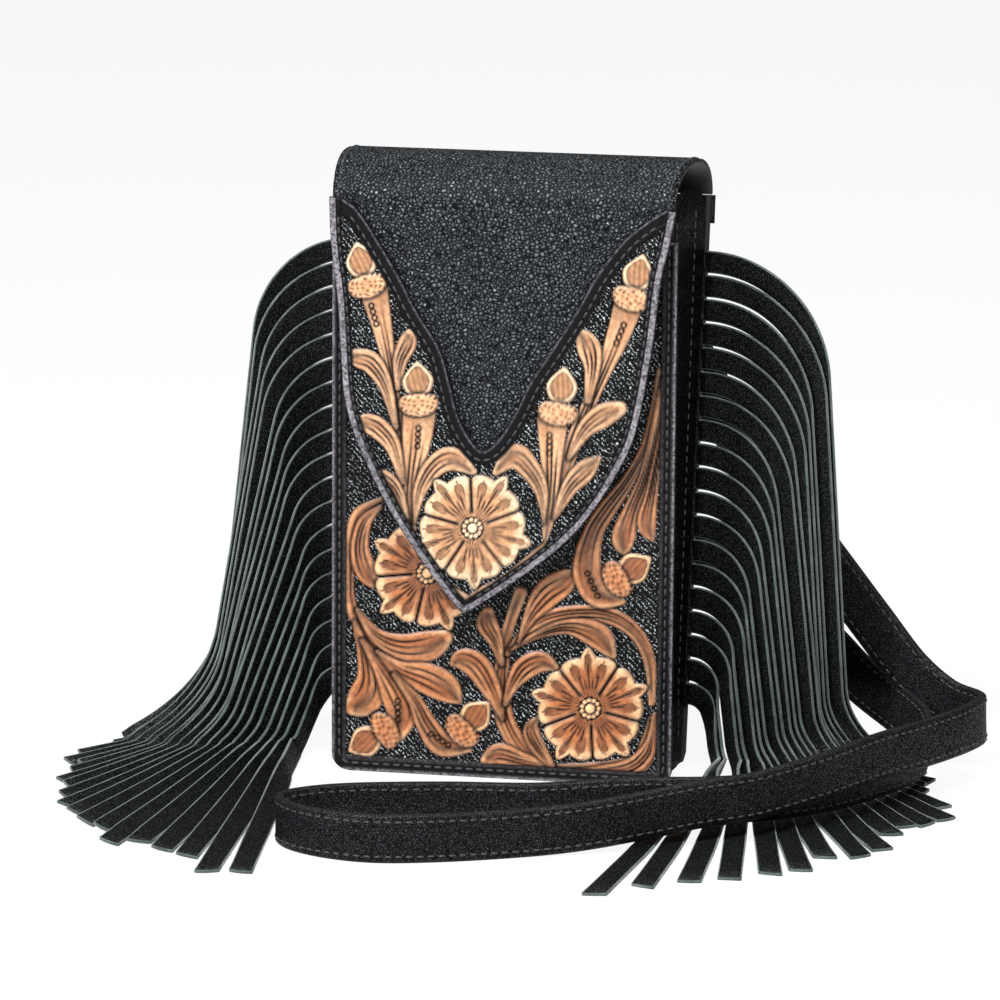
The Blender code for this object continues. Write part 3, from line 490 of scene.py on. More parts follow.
# Width of the bag and height of the panel or the flap on its drawing grid, with the grid's middle and foot.
# GRID_LEAN is how much a level line rises across the bag.
PANEL_WIDE, PANEL_TALL, PANEL_MIDDLE, PANEL_FOOT = 341.0, 536.6, 501.5, 777.1
FLAP_WIDE, FLAP_TALL, FLAP_MIDDLE, FLAP_FOOT = 346.2, 576.2, 502.2, 784.5
GRID_LEAN = 0.045


def panel_grid(x, z):
    v = PANEL_FOOT - (z - GRID_LEAN * x) * PANEL_TALL / PANEL_TOP
    return x * PANEL_WIDE / BAG_WIDTH + PANEL_MIDDLE, v


def flap_grid(x, z):
    v = FLAP_FOOT - (z - GRID_LEAN * x) * FLAP_TALL / FLAP_SHOULDER
    return x * FLAP_WIDE / BAG_WIDTH + FLAP_MIDDLE, v


def flap_at(u, v):
    x = (u - FLAP_MIDDLE) * BAG_WIDTH / FLAP_WIDE
    return x, (FLAP_FOOT - v) * FLAP_SHOULDER / FLAP_TALL + GRID_LEAN * x


def smooth(value, low, high):
    share = np.clip((value - low) / (high - low), 0.0, 1.0)
    return share * share * (3 - 2 * share)


def bell(value, width):
    return np.exp(-((value / width) ** 2))


class Canvas:
    """Height, colour and dyed ground at many points of a drawing grid. Motifs are laid on it in turn."""

    def __init__(self, u, v, base, light, dark):
        self.u = u
        self.v = v
        self.height = np.zeros(len(u))
        self.tint = np.tile(np.array(colour("#08090A")[:3]), (len(u), 1))
        self.ground = np.ones(len(u))
        # light is the colour of the painted highlights.
        self.base, self.light, self.dark = (np.array(colour(code)[:3]) for code in (base, light, dark))
        self.tone = 0.0

    def near(self, low_u, high_u, low_v, high_v):
        return np.nonzero((self.u > low_u) & (self.u < high_u) & (self.v > low_v) & (self.v < high_v))[0]

    def lay(self, at, edge, height, shade, painted_highlight, share):
        """Lays one motif. edge is below zero inside it, shade is brown antique and painted_highlight is
        painted highlight towards the light colour.
        """
        inside = smooth(-edge, -0.3, 1.1)
        pressed = bell(np.maximum(edge, 0.0), 2.0) * (edge > -1.0)
        self.height[at] -= 0.3 * pressed * np.minimum(self.height[at], 1.0)
        self.tint[at] *= (1 - 0.92 * bell(np.maximum(edge - 0.2, 0.0), 2.0) * (1 - inside))[:, None]
        rim = smooth(-edge, 0.0, 2.2)
        body = share * (height * (0.35 + 0.65 * rim))
        self.height[at] = self.height[at] * (1 - inside) + body * inside
        shade = shade + 0.75 * bell(edge + 0.3, 0.9) + 0.12 * bell(edge + 2.5, 2.0)
        shade = np.clip(shade, 0.0, 1.0)[:, None]
        # Painted highlight along the raised edge, just inside it.
        painted_highlight = np.clip(painted_highlight + 0.3 * bell(edge + 3.0, 1.4), 0.0, 1.0)[:, None]
        plain = self.base * (1 + self.tone)
        look = plain + (self.light - plain) * painted_highlight
        look = look + (self.dark - look) * shade
        cover = inside[:, None]
        self.tint[at] = self.tint[at] * (1 - cover) + look * cover
        self.ground[at] *= 1 - inside

    def mark(self, at, strength, depth):
        """Cuts or stamps something dark into what is there already."""
        share = np.clip(strength, 0.0, 1.0)
        self.height[at] -= depth * share
        self.tint[at] += (self.dark * 0.45 - self.tint[at]) * np.minimum(share * 1.25, 1.0)[:, None]

    def ribbon(self, path, turn):
        middle = np.array(smooth_path(path, 14))
        middle[:, 2] = np.maximum(middle[:, 2] * RIBBON_FULLNESS, 1.3)
        reach = middle[:, 2].max() + 7
        low_u, low_v = middle[:, :2].min(0) - reach
        high_u, high_v = middle[:, :2].max(0) + reach
        at = self.near(low_u, high_u, low_v, high_v)
        away_u = self.u[at, None] - middle[None, :, 0]
        away_v = self.v[at, None] - middle[None, :, 1]
        gaps = np.hypot(away_u, away_v) - middle[None, :, 2]
        nearest = gaps.argmin(1)
        rows = np.arange(len(at))
        edge = gaps[rows, nearest]
        close = edge < 7
        at, edge, nearest, rows = at[close], edge[close], nearest[close], rows[close]
        heading = np.gradient(middle[:, :2], axis=0)
        heading /= np.linalg.norm(heading, axis=1)[:, None]
        side = away_v[rows, nearest] * heading[nearest, 0] - away_u[rows, nearest] * heading[nearest, 1]
        ahead = away_u[rows, nearest] * heading[nearest, 0] + away_v[rows, nearest] * heading[nearest, 1]
        length = line_length(np.c_[middle[:, :2], np.zeros(len(middle))])
        along = (nearest / (len(middle) - 1)) + ahead / length
        half = middle[nearest, 2]
        across = side / np.maximum(half, 1.5) * turn
        widest = middle[:, 2].max()
        dome = 0.78 + 0.22 * np.sqrt(np.clip(1 - across**2, 0, 1))
        shade = 0.55 * bell(along, 0.13)
        # Painted highlight along one side of the ribbon.
        painted_highlight = 0.25 * bell(across + 0.35, 0.3)
        if widest >= 7.5 and path[-1][2] != widest:
            head = smooth(along, 0.45, 0.85) * (1 - smooth(along, 0.93, 1.02))
            drop = head * bell(across + 0.1, 0.48)
            shade = shade + 0.8 * drop
            dome = dome - 0.3 * drop
            # Painted highlight round the rim of the leaf's head.
            painted_highlight = painted_highlight + 0.5 * smooth(along, 0.8, 0.97) * bell(np.abs(across) - 0.75, 0.3)
        self.lay(at, edge, dome, shade, painted_highlight, 0.72 * CARVE_RISE if widest < 7.5 else 0.8 * CARVE_RISE)
        if widest >= 7.5:
            cuts = ((0.42, 0.06, 0.9, 1.5), (0.02, 0.1, 0.72, 1.25), (-0.42, 0.2, 0.82, 1.2))
        elif length > 60:
            cuts = ((0.35, 0.05, 0.9, 1.2),)
        else:
            cuts = ((0.1, 0.15, 0.7, 1.1),)
        for place, start, end, width in cuts:
            swell = np.sin(np.pi * np.clip((along - start) / (end - start), 0, 1)) ** 0.6
            bend = place + 0.25 * (along - 0.5)
            line = bell((across - bend) * np.maximum(half, 1.5), 0.75 + 0.55 * width * swell) * swell
            self.mark(at, line * 0.92 * (edge < -0.5), 0.3)

    def flower(self, u, v, radius, turn):
        """Five petals with round shoulders and a middle point. Each has three drops pressed into it."""
        at = self.near(u - radius - 8, u + radius + 8, v - radius - 8, v + radius + 8)
        away_u, away_v = self.u[at] - u, self.v[at] - v
        far = np.hypot(away_u, away_v)
        phase = (5 * (np.arctan2(away_v, away_u) - turn) / (2 * np.pi) + 0.5) % 1.0 - 0.5
        shoulder = np.sqrt(np.clip(1 - ((np.abs(phase) - 0.32) / 0.19) ** 2, 0, 1))
        reach = radius * (0.74 + 0.13 * shoulder + 0.26 * bell(phase, 0.12))
        edge = (far - reach) * 0.85
        ratio = far / radius
        arc = 2 * np.pi / 5 * far
        dome = 0.75 + 0.3 * np.cos(phase * np.pi) * smooth(ratio, 0.25, 0.7)
        pressed = np.zeros(len(at))
        rims = np.zeros(len(at))
        drops = ((0.0, 0.45, 0.9, 3.4), (-0.27, 0.36, 0.76, 4.6), (0.27, 0.36, 0.76, 4.6))
        for offset, start, end, size in drops:
            along = (ratio - start) / (end - start)
            tail = np.sqrt(np.clip(along, 0, 1))
            nose = np.sqrt(np.clip(1 - (np.maximum(along - 0.75, 0) / 0.25) ** 2, 0, 1))
            gap = np.abs(phase - offset) * arc - size * tail * nose
            within = (along > 0) & (along < 1.12)
            depth = 0.45 + 0.55 * smooth(along, 0.3, 0.9)
            pressed = np.maximum(pressed, smooth(-gap, -0.8, 1.2) * depth * within)
            rims = np.maximum(rims, bell(gap, 0.85) * smooth(along, 0.1, 0.5) * within)
        shade = np.maximum(0.6 * pressed, 0.9 * rims) + 0.25 * bell(ratio - 0.28, 0.07)
        # Painted highlight on the outer part of each petal and on its shoulders.
        painted_highlight = 0.75 * smooth(ratio, 0.6, 0.8) * (1 - pressed) + 0.25 * bell(np.abs(phase) - 0.4, 0.05)
        self.lay(at, edge, dome - 0.4 * pressed, shade, painted_highlight, 0.95 * CARVE_RISE)
        inside = (edge < 0.5).astype(float)
        border = bell((0.5 - np.abs(phase)) * arc, 2.0) * smooth(far, 12, 18)
        self.mark(at, border * inside, 0.5)
        for offset, last in ((0.0, 0.8), (-0.27, 0.62), (0.27, 0.62), (-0.13, 0.55), (0.13, 0.55)):
            line = bell((phase - offset * (0.8 + 0.2 * ratio)) * arc, 1.2)
            line *= smooth(ratio, 0.27, 0.36) * (1 - smooth(ratio, last - 0.1, last))
            self.mark(at, line * 0.85 * inside, 0.25)
        rays = (0.5 + 0.5 * np.cos(36 * np.arctan2(away_v, away_u))) ** 2
        rays = rays * smooth(far, 11, 13) * (1 - smooth(far, 15, 21))
        self.mark(at, rays * 0.8, 0.2)
        well = 1 - smooth(far, 11.6, 12.6)
        self.tint[at] += (self.dark * 0.35 - self.tint[at]) * well[:, None]
        self.height[at] += (0.42 - self.height[at]) * well
        seeds = [(u, v, 4.8)]
        for k in range(11):
            angle = k * math.pi / 5.5
            seeds.append((u + 8.4 * math.cos(angle), v + 8.4 * math.sin(angle), 2.1))
        for seed_u, seed_v, size in seeds:
            gap = np.hypot(self.u[at] - seed_u, self.v[at] - seed_v)
            cover = 1 - smooth(gap, size - 1.0, size + 0.3)
            self.height[at] += cover * (0.35 + 0.3 * np.sqrt(np.clip(1 - (gap / size) ** 2, 0, 1)))
            # The seeds are tinted a little beyond the highlight colour: painted highlight.
            self.tint[at] += (self.light * 1.1 - self.tint[at]) * cover[:, None]

    def oval(self, u, v, towards_u, towards_v, long, wide, point):
        """Coordinates along and across an oval whose long axis aims at another point."""
        at = self.near(u - 24, u + 24, v - 24, v + 24)
        axis = Vector((towards_u - u, towards_v - v)).normalized()
        away_u, away_v = self.u[at] - u, self.v[at] - v
        along = (away_u * axis.x + away_v * axis.y) / long
        across = (away_v * axis.x - away_u * axis.y) / wide
        narrow = 1 - point * np.clip(along, 0, 1) ** 1.3
        ratio = np.hypot(along, across / narrow)
        return at, along, across, (ratio - 1) * min(long, wide), ratio

    def acorn(self, cap_u, cap_v, nut_u, nut_v):
        beyond = (2 * nut_u - cap_u, 2 * nut_v - cap_v)
        at, along, across, edge, ratio = self.oval(nut_u, nut_v, *beyond, 19.0, 16.0, 0.7)
        core = smooth(1 - ratio, 0.22, 0.34)
        hatch = 0.5 + 0.5 * np.sin(across * 19 + along * 5)
        dome = 0.8 + 0.25 * np.sqrt(np.clip(1 - ratio**2, 0, 1)) - 0.08 * core * hatch
        shade = core * (0.3 + 0.3 * hatch) + 0.5 * bell(ratio - 0.72, 0.06)
        # Painted highlight on the nut outside its hatched core.
        self.lay(at, edge, dome, shade, 0.7 * (1 - core), 0.95 * CARVE_RISE)
        at, along, across, edge, ratio = self.oval(cap_u, cap_v, nut_u, nut_v, 14.0, 20.5, 0.0)
        cup = np.maximum(edge, (along - 0.72 + 0.25 * across**2) * 13.5)
        scale = np.sin(across * 15 + along * 5 + np.sin(along * 9))
        scale = scale * np.sin(along * 11 - across * 5 + np.sin(across * 7))
        shade = 0.05 + 0.75 * np.clip(-scale * 1.6 - 0.3, 0, 1)
        dome = 0.95 + 0.2 * np.sqrt(np.clip(1 - ratio**2, 0, 1)) + 0.1 * scale
        # Painted highlight on the raised bumps of the cap.
        self.lay(at, cup, dome, shade, 0.4 * np.clip(scale, 0, 1), 0.95 * CARVE_RISE)

    def ring_stamps(self, start, end, count=4):
        for k in range(count):
            u = start[0] + (end[0] - start[0]) * k / (count - 1)
            v = start[1] + (end[1] - start[1]) * k / (count - 1)
            at = self.near(u - 6, u + 6, v - 6, v + 6)
            far = np.hypot(self.u[at] - u, self.v[at] - v)
            self.mark(at, bell(far - 2.5, 1.05), 0.3)

    def draw(self, ribbons, flowers, acorns, stamps):
        dice = random.Random(5)
        for k, path in enumerate(ribbons):
            self.tone = dice.uniform(-0.12, 0.08)
            self.ribbon(path, 1 if k % 2 else -1)
        self.tone = 0.0
        for spots in acorns:
            self.acorn(*spots)
        for spots in flowers:
            self.flower(*spots)
        for start, end in stamps:
            self.ring_stamps(start, end)


def set_attribute(mesh, name, kind, values):
    made = mesh.attributes.new(name, kind, "POINT")
    if kind == "FLOAT_COLOR":
        made.data.foreach_set("color", np.c_[values, np.ones(len(values))].astype(np.float32).ravel())
    else:
        made.data.foreach_set("value", values.astype(np.float32))


def relief_piece(name, x, z, y_front, y_back, canvas, stripe, body, replaced):
    """A carved plate: a fine front grid moved by the canvas, plain sides and a plain back."""
    rows, columns = x.shape
    bpy.ops.mesh.primitive_grid_add(x_subdivisions=columns - 1, y_subdivisions=rows - 1, size=1)
    made = bpy.context.object
    made.name = name
    mesh = made.data
    mesh.name = name
    spots = np.stack([x.ravel(), y_front.ravel(), z.ravel()], axis=1) * MM
    mesh.vertices.foreach_set("co", spots.astype(np.float32).ravel())
    mesh.update()
    set_attribute(mesh, "tint", "FLOAT_COLOR", canvas.tint)
    set_attribute(mesh, "ground", "FLOAT", canvas.ground)
    set_attribute(mesh, "stripe", "FLOAT", stripe)
    for look in (CARVED, EDGE_PAINT, LINING):
        mesh.materials.append(look)
    work = bmesh.new()
    work.from_mesh(mesh)
    for face in work.faces:
        face.smooth = True
    border = [edge for edge in work.edges if edge.is_boundary]
    for depth in (0.35, 1.0):
        grown = bmesh.ops.extrude_edge_only(work, edges=border)
        border = []
        for item in grown["geom"]:
            if isinstance(item, bmesh.types.BMVert):
                item.co.y += (y_back * MM - item.co.y) * depth
            elif isinstance(item, bmesh.types.BMFace):
                item.material_index = 1
                item.smooth = False
            elif item.is_boundary:
                border.append(item)
    closing = bmesh.ops.contextual_create(work, geom=border)
    for face in closing["faces"]:
        face.material_index = 2
        face.smooth = False
    bmesh.ops.recalc_face_normals(work, faces=work.faces)
    work.to_mesh(mesh)
    work.free()
    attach(made, body)
    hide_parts(replaced)
    return made


def rim_tint(canvas, rim, code):
    """Dyes the rim one plain colour and takes it out of the stippled ground."""
    plain = np.array(colour(code)[:3])
    canvas.tint = canvas.tint * (1 - rim)[:, None] + plain * rim[:, None]
    canvas.ground *= 1 - rim


def carved_panel():
    """The front of the bag: a plain stitched rim round a sunk, stippled field with raised motifs."""
    columns, rows = 234, 372
    across, up = np.meshgrid(np.linspace(-1, 1, columns), np.linspace(0, 1, rows))
    z = up * PANEL_TOP
    low = np.clip(CORNER_RADIUS - z, 0, None)
    x = across * (HALF - CORNER_RADIUS + np.sqrt(CORNER_RADIUS**2 - low**2))
    u, v = panel_grid(x.ravel(), z.ravel())
    canvas = Canvas(u, v, "#B97040", "#F6C594", "#140804")
    canvas.draw(PANEL_RIBBONS + [CORNER_RIBBON], PANEL_FLOWERS, PANEL_ACORNS, RING_STAMPS_PANEL)
    flat_x, flat_z = x.ravel(), z.ravel()
    side = HALF - PANEL_RIM
    out = np.maximum.reduce([np.abs(flat_x) - side, PANEL_RIM - flat_z, flat_z - PANEL_TOP + PANEL_RIM])
    rim = smooth(out, -0.25, 0.25)
    rim_tint(canvas, rim, "#0B0C0E")
    canvas.tint *= (1 - 0.85 * bell(out, 0.45))[:, None]
    wall = GROUND_SINK - 0.28 * bell(out - 2.3, 0.5) - 0.15 * smooth(out, 4.2, 4.8)
    wall = wall + 0.05 * bell(out - 1.1, 0.8)
    # A motif is cut off where it meets the rim.
    height = np.minimum(canvas.height, GROUND_SINK + 0.22) * (1 - rim) + wall * rim
    # The stripe lays grey edge wear with painted glints on the rolled outer edge, and a faint line of it
    # just inside the rim.
    stripe = 0.75 * smooth(out, 3.7, 4.1) + 0.2 * bell(out - 0.7, 0.35)
    y = (FRONT + GROUND_SINK - height).reshape(x.shape)
    made = relief_piece("carved_front_panel", x, z, y, PANEL_BACK, canvas, stripe, "bag", "front_panel")
    low, bend, y = 2.5, 4, FRONT - 0.02
    inner = HALF - low
    path = [(-inner, y, PANEL_TOP - 1.5, 0, -1, 0), (-inner, y, low + bend, 0, -1, 0)]
    for step in range(1, 6):
        angle = math.pi + math.pi / 2 * step / 6
        x, z = bend - inner + bend * math.cos(angle), low + bend + bend * math.sin(angle)
        path.append((x, y, z, 0, -1, 0))
    path += [(-spot[0], *spot[1:]) for spot in path[::-1]]
    stitches("panel_stitches", [path], "bag", pitch=3.4, long=2.5)


def polyline_distance(x, z, line):
    """Distance of many points from a line of (x, z) points."""
    best = np.full(len(x), 1e9)
    line = np.array(line)
    for (ax, az), (bx, bz) in zip(line[:-1], line[1:]):
        dx, dz = bx - ax, bz - az
        if dx == dz == 0:
            continue
        share = np.clip(((x - ax) * dx + (z - az) * dz) / (dx * dx + dz * dz), 0, 1)
        best = np.minimum(best, np.hypot(x - ax - share * dx, z - az - share * dz))
    return best


def carved_overlay():
    """The V of carved leather on the flap. Its grid runs from its outer edge to the edge of the notch."""
    left = [flap_at(u, v) for u, v in smooth_path(FLAP_LEFT, 6)][::-1]
    right = [flap_at(u, v) for u, v in smooth_path(FLAP_RIGHT, 6)]
    notch = [flap_at(u, v) for u, v in smooth_path(FLAP_NOTCH, 6)][::-1]
    split = min(range(len(notch)), key=lambda k: notch[k][1])
    count, layers = 260, 96
    outer = np.concatenate([resample(left, count), resample(right, count)[1:]])
    inner = np.concatenate([resample(notch[: split + 1], count), resample(notch[split:], count)[1:]])
    share = np.linspace(0, 1, layers)[:, None, None]
    spots = outer[None] * (1 - share) + inner[None] * share
    x, z = spots[..., 0], spots[..., 1]
    u, v = flap_grid(x.ravel(), z.ravel())
    canvas = Canvas(u, v, "#D99F70", "#FBD9B2", "#2A120A")
    canvas.draw(FLAP_RIBBONS, FLAP_FLOWERS, FLAP_ACORNS, RING_STAMPS_FLAP)
    flat_x, flat_z = x.ravel(), z.ravel()
    outline = resample(left, 90).tolist() + resample(right, 90).tolist()
    from_edge = polyline_distance(flat_x, flat_z, outline)
    from_notch = polyline_distance(flat_x, flat_z, resample(notch, 180))
    rim_in = 1 - smooth(from_notch, 4.3, 4.8)
    rim_out = 1 - smooth(from_edge, 3.5, 3.9)
    rim = np.maximum(rim_in, rim_out)
    rim_tint(canvas, rim, "#0C0D0F")
    edge_line = np.maximum(bell(from_notch - 4.5, 0.4), bell(from_edge - 3.8, 0.35))
    canvas.tint *= (1 - 0.8 * edge_line)[:, None]
    wall = OVERLAY_SINK - 0.25 * bell(from_notch - 3.0, 0.5) - 0.18 * (1 - smooth(from_edge, 0.0, 0.7))
    wall -= 0.15 * (1 - smooth(from_notch, 0.0, 0.6))
    carved = np.minimum(canvas.height * OVERLAY_RISE / CARVE_RISE, OVERLAY_SINK + 0.3)
    height = carved * (1 - rim) + wall * rim
    # The stripe lays grey edge wear with painted glints along the outer edge; the thin line by the notch
    # edge is a painted highlight.
    stripe = (1 - smooth(from_edge, 1.8, 2.1)) * smooth(from_edge, 0.0, 0.25)
    stripe = np.maximum(stripe, 0.4 * bell(from_notch - 0.35, 0.3))
    y = (OVERLAY_FRONT + OVERLAY_SINK - height).reshape(x.shape)
    name = "carved_flap_overlay"
    made = relief_piece(name, x, z, y, OVERLAY_BACK, canvas, stripe, "flap", "flap_overlay")
    rows = []
    lines = ((resample(notch, 160), 3.0), (resample(left, 100), -2.8), (resample(right, 100), -2.8))
    for line, away in lines:
        heading = np.gradient(line, axis=0)
        heading /= np.linalg.norm(heading, axis=1)[:, None]
        row = []
        for (px, pz), (hx, hz) in zip(line[4:-4], heading[4:-4]):
            row.append((px + hz * away, OVERLAY_FRONT - 0.02, pz - hx * away, 0, -1, 0))
        rows.append(row)
    stitches("overlay_stitches", rows, "flap", pitch=3.2, long=2.4)


carved_panel()
carved_overlay()


# Plain leather pieces


def plate(name, rows, thick, materials, body, replaced, outward=1, edge=0.25):
    """A leather sheet from rows of points on its outer face. materials are its face, its edge and its back.

    Each row has the same number of (x, y, z) points. thick is measured inward, against the face's normal.
    """
    grid = np.array(rows, float)
    count, columns = grid.shape[:2]
    down = np.gradient(grid, axis=0)
    across = np.gradient(grid, axis=1)
    normal = np.cross(down, across)
    normal /= np.linalg.norm(normal, axis=2)[..., None]
    normal *= outward
    ring = np.zeros((count, columns), bool)
    ring[0] = ring[-1] = True
    ring[:, 0] = ring[:, -1] = True
    outer = grid - normal * (ring * edge)[..., None]
    inner = grid - normal * (thick - ring * edge)[..., None]
    points = [tuple(p) for p in outer.reshape(-1, 3)] + [tuple(p) for p in inner.reshape(-1, 3)]
    half = count * columns
    faces = []
    choose = []
    for i in range(count - 1):
        for k in range(columns - 1):
            a = i * columns + k
            faces.append((a, a + 1, a + columns + 1, a + columns))
            faces.append((half + a, half + a + columns, half + a + columns + 1, half + a + 1))
            choose += [0, 2]
    loop = list(range(columns))
    loop += [i * columns + columns - 1 for i in range(1, count)]
    loop += [(count - 1) * columns + k for k in range(columns - 2, -1, -1)]
    loop += [i * columns for i in range(count - 2, 0, -1)]
    for a, b in zip(loop, loop[1:] + loop[:1]):
        faces.append((a, half + a, half + b, b))
        choose.append(1)
    piece(name, points, faces, materials, body, choose, replaced)


def at_height(line, z):
    spots = [flap_at(u, v) for u, v in line]
    for (x0, z0), (x1, z1) in zip(spots, spots[1:]):
        if z <= z1:
            return x0 + (x1 - x0) * max(0.0, z - z0) / (z1 - z0)
    return spots[-1][0]


def flap_rows(low_steps, arch_steps):
    """Rows of the flap's outer face from its point to the hinge, each as left x, right x, y and z."""
    rows = []
    start = flap_at(*FLAP_LEFT[0])[1] + 2.2
    for step in range(low_steps + 1):
        z = start + (FLAP_SHOULDER - start) * (step / low_steps) ** 1.35
        rows.append((at_height(FLAP_LEFT, z) + 0.5, at_height(FLAP_RIGHT, z) - 0.5, FLAP_OUTER, z))
    front_left, front_right = rows[-1][0], rows[-1][1]
    rear = HALF - GUSSET_INSET + FLARE_TOP + FLAP_OVERHANG
    middle = (FLAP_OUTER + HINGE_Y) / 2
    reach = (HINGE_Y - FLAP_OUTER) / 2
    for step in range(1, arch_steps + 1):
        angle = math.pi * step / arch_steps
        share = (1 - math.cos(angle)) / 2
        base = FLAP_SHOULDER + (HINGE_Z - FLAP_SHOULDER) * share
        y = middle - reach * math.copysign(abs(math.cos(angle)) ** 0.86, math.cos(angle))
        z = base + FLAP_RISE * math.sin(angle) ** 0.86
        left = front_left + (-rear - front_left) * share
        right = front_right + (rear - front_right) * share
        rows.append((left, right, y, z))
    return rows


def flap_leather():
    rows = flap_rows(40, 48)
    spots = []
    for left, right, y, z in rows:
        spots.append([(left + (right - left) * k / 36, y, z) for k in range(37)])
    looks = [PEBBLED, EDGE_PAINT, LINING]
    slot, replaced = "pebbled_leather", ["flap_leather"]
    plate("pebbled_flap_leather", spots, FLAP_THICK, looks, "flap", replaced, outward=-1)
    arch = flap_rows(12, 60)[12:]
    lines = []
    for side in (0, 1):
        line = []
        for i, row in enumerate(arch):
            before, after = arch[max(0, i - 1)], arch[min(len(arch) - 1, i + 1)]
            rise = Vector((0, after[2] - before[2], after[3] - before[3])).normalized()
            out = Vector((0, -rise.z, rise.y))
            inward = 1.9 if side == 0 else -1.9
            line.append((row[side] + inward, row[2], row[3], *out))
        lines.append(line)
    stitches("flap_side_stitches", lines, "flap", pitch=3.2, long=2.4)


def gusset_section(z, share):
    """How wide the gusset is and how far it sinks in, as factors, and its y. share is 0 at the front."""
    front_y = PANEL_BACK + GAP
    rear_y = back_y(z) - BACK_THICK - 2 * GAP - STRAND_THICK
    widen = 1 + flare(z) * share / (HALF - GUSSET_INSET)
    sag = 1 - 0.018 * math.sin(math.pi * share) ** 0.8 * min(1.0, z / 30)
    return widen, sag, front_y + (rear_y - front_y) * share


def gusset():
    """One strip round both sides and the bottom. Its sides sink in a little between front and back."""
    side = HALF - GUSSET_INSET
    path = [(-side, BODY_HEIGHT)]
    path += [(-side, BODY_HEIGHT + (CORNER_RADIUS - BODY_HEIGHT) * step / 24) for step in range(1, 25)]
    for step in range(1, 8):
        angle = math.pi + math.pi / 2 * step / 7
        path.append((CORNER_RADIUS * (1 + math.cos(angle)) - side, CORNER_RADIUS * (1 + math.sin(angle))))
    path += [(-x, z) for x, z in path[::-1]]
    rows = []
    for x, z in path:
        row = []
        for column in range(15):
            share = column / 14
            widen, sag, y = gusset_section(z, share)
            rise = GUSSET_RISE * math.sin(math.pi * share) * max(0.0, 1 - (BODY_HEIGHT - z) / 25)
            row.append((x * widen * sag, y, z + rise))
        rows.append(row)
    looks = [SHADED, EDGE_PAINT, LINING]
    plate("leather_gusset", rows, GUSSET_THICK, looks, "bag", ["gusset"], outward=-1)
    lines = []
    start = 12
    for sign in (1, -1):
        for share in (0.06, 0.72):
            line = []
            for step in range(41):
                z = start + (BODY_HEIGHT - 2 - start) * step / 40
                widen, sag, y = gusset_section(z, share)
                line.append((sign * (side * widen * sag + 0.02), y, z, sign, 0, 0))
            lines.append(line)
    stitches("gusset_stitches", lines, "bag", pitch=3.4, long=2.5, thick=0.38)


def back_panel():
    low = HALF - GUSSET_INSET + FLARE_BOTTOM + BACK_OVERHANG
    high = HALF - GUSSET_INSET + FLARE_TOP + BACK_OVERHANG
    rows = []
    for step in range(61):
        z = BODY_HEIGHT * step / 60
        wide = low + (high - low) * z / BODY_HEIGHT
        drop = max(0.0, CORNER_RADIUS - z)
        wide -= CORNER_RADIUS - math.sqrt(CORNER_RADIUS**2 - drop**2)
        rows.append([(wide * (2 * k / 30 - 1), back_y(z), z) for k in range(31)])
    looks = [SMOOTH, EDGE_PAINT, LINING]
    plate("leather_back_panel", rows, BACK_THICK, looks, "bag", ["back_panel"])
    line = []
    for sign in (-1, 1):
        side_line = []
        for step in range(31):
            z = BODY_HEIGHT - 12 - (BODY_HEIGHT - 18) * step / 30
            wide = low + (high - low) * z / BODY_HEIGHT - 2.4
            side_line.append((sign * wide, back_y(z) + 0.02, z, 0, 1, 0))
        line += side_line if sign < 0 else side_line[::-1]
    stitches("back_stitches", [line], "bag", pitch=3.4, long=2.5)


def back_strip():
    wide = HALF - GUSSET_INSET + FLARE_TOP + BACK_OVERHANG + STRIP_OVERHANG
    rows = []
    for step in range(7):
        z = BODY_HEIGHT - STRIP_HEIGHT + STRIP_HEIGHT * step / 6
        y = back_y(z) + GAP + STRIP_THICK
        rows.append([(wide * (2 * k / 40 - 1), y, z) for k in range(41)])
    looks = [SMOOTH, EDGE_PAINT, EDGE_PAINT]
    plate("leather_back_strip", rows, STRIP_THICK, looks, "bag", ["back_strip"])
    lines = []
    for z in (BODY_HEIGHT - 1.8, BODY_HEIGHT - STRIP_HEIGHT + 1.8):
        y = back_y(z) + GAP + STRIP_THICK + 0.02
        lines.append([(-wide + 2, y, z, 0, 1, 0), (wide - 2, y, z, 0, 1, 0)])
    stitches("strip_stitches", lines, "bag", pitch=3.2, long=2.4, thick=0.38)


# Fringe


def seam_x(z):
    return HALF - GUSSET_INSET + flare(z) + 0.6


def seam_y(z):
    return back_y(z) - BACK_THICK - GAP - STRAND_THICK / 2


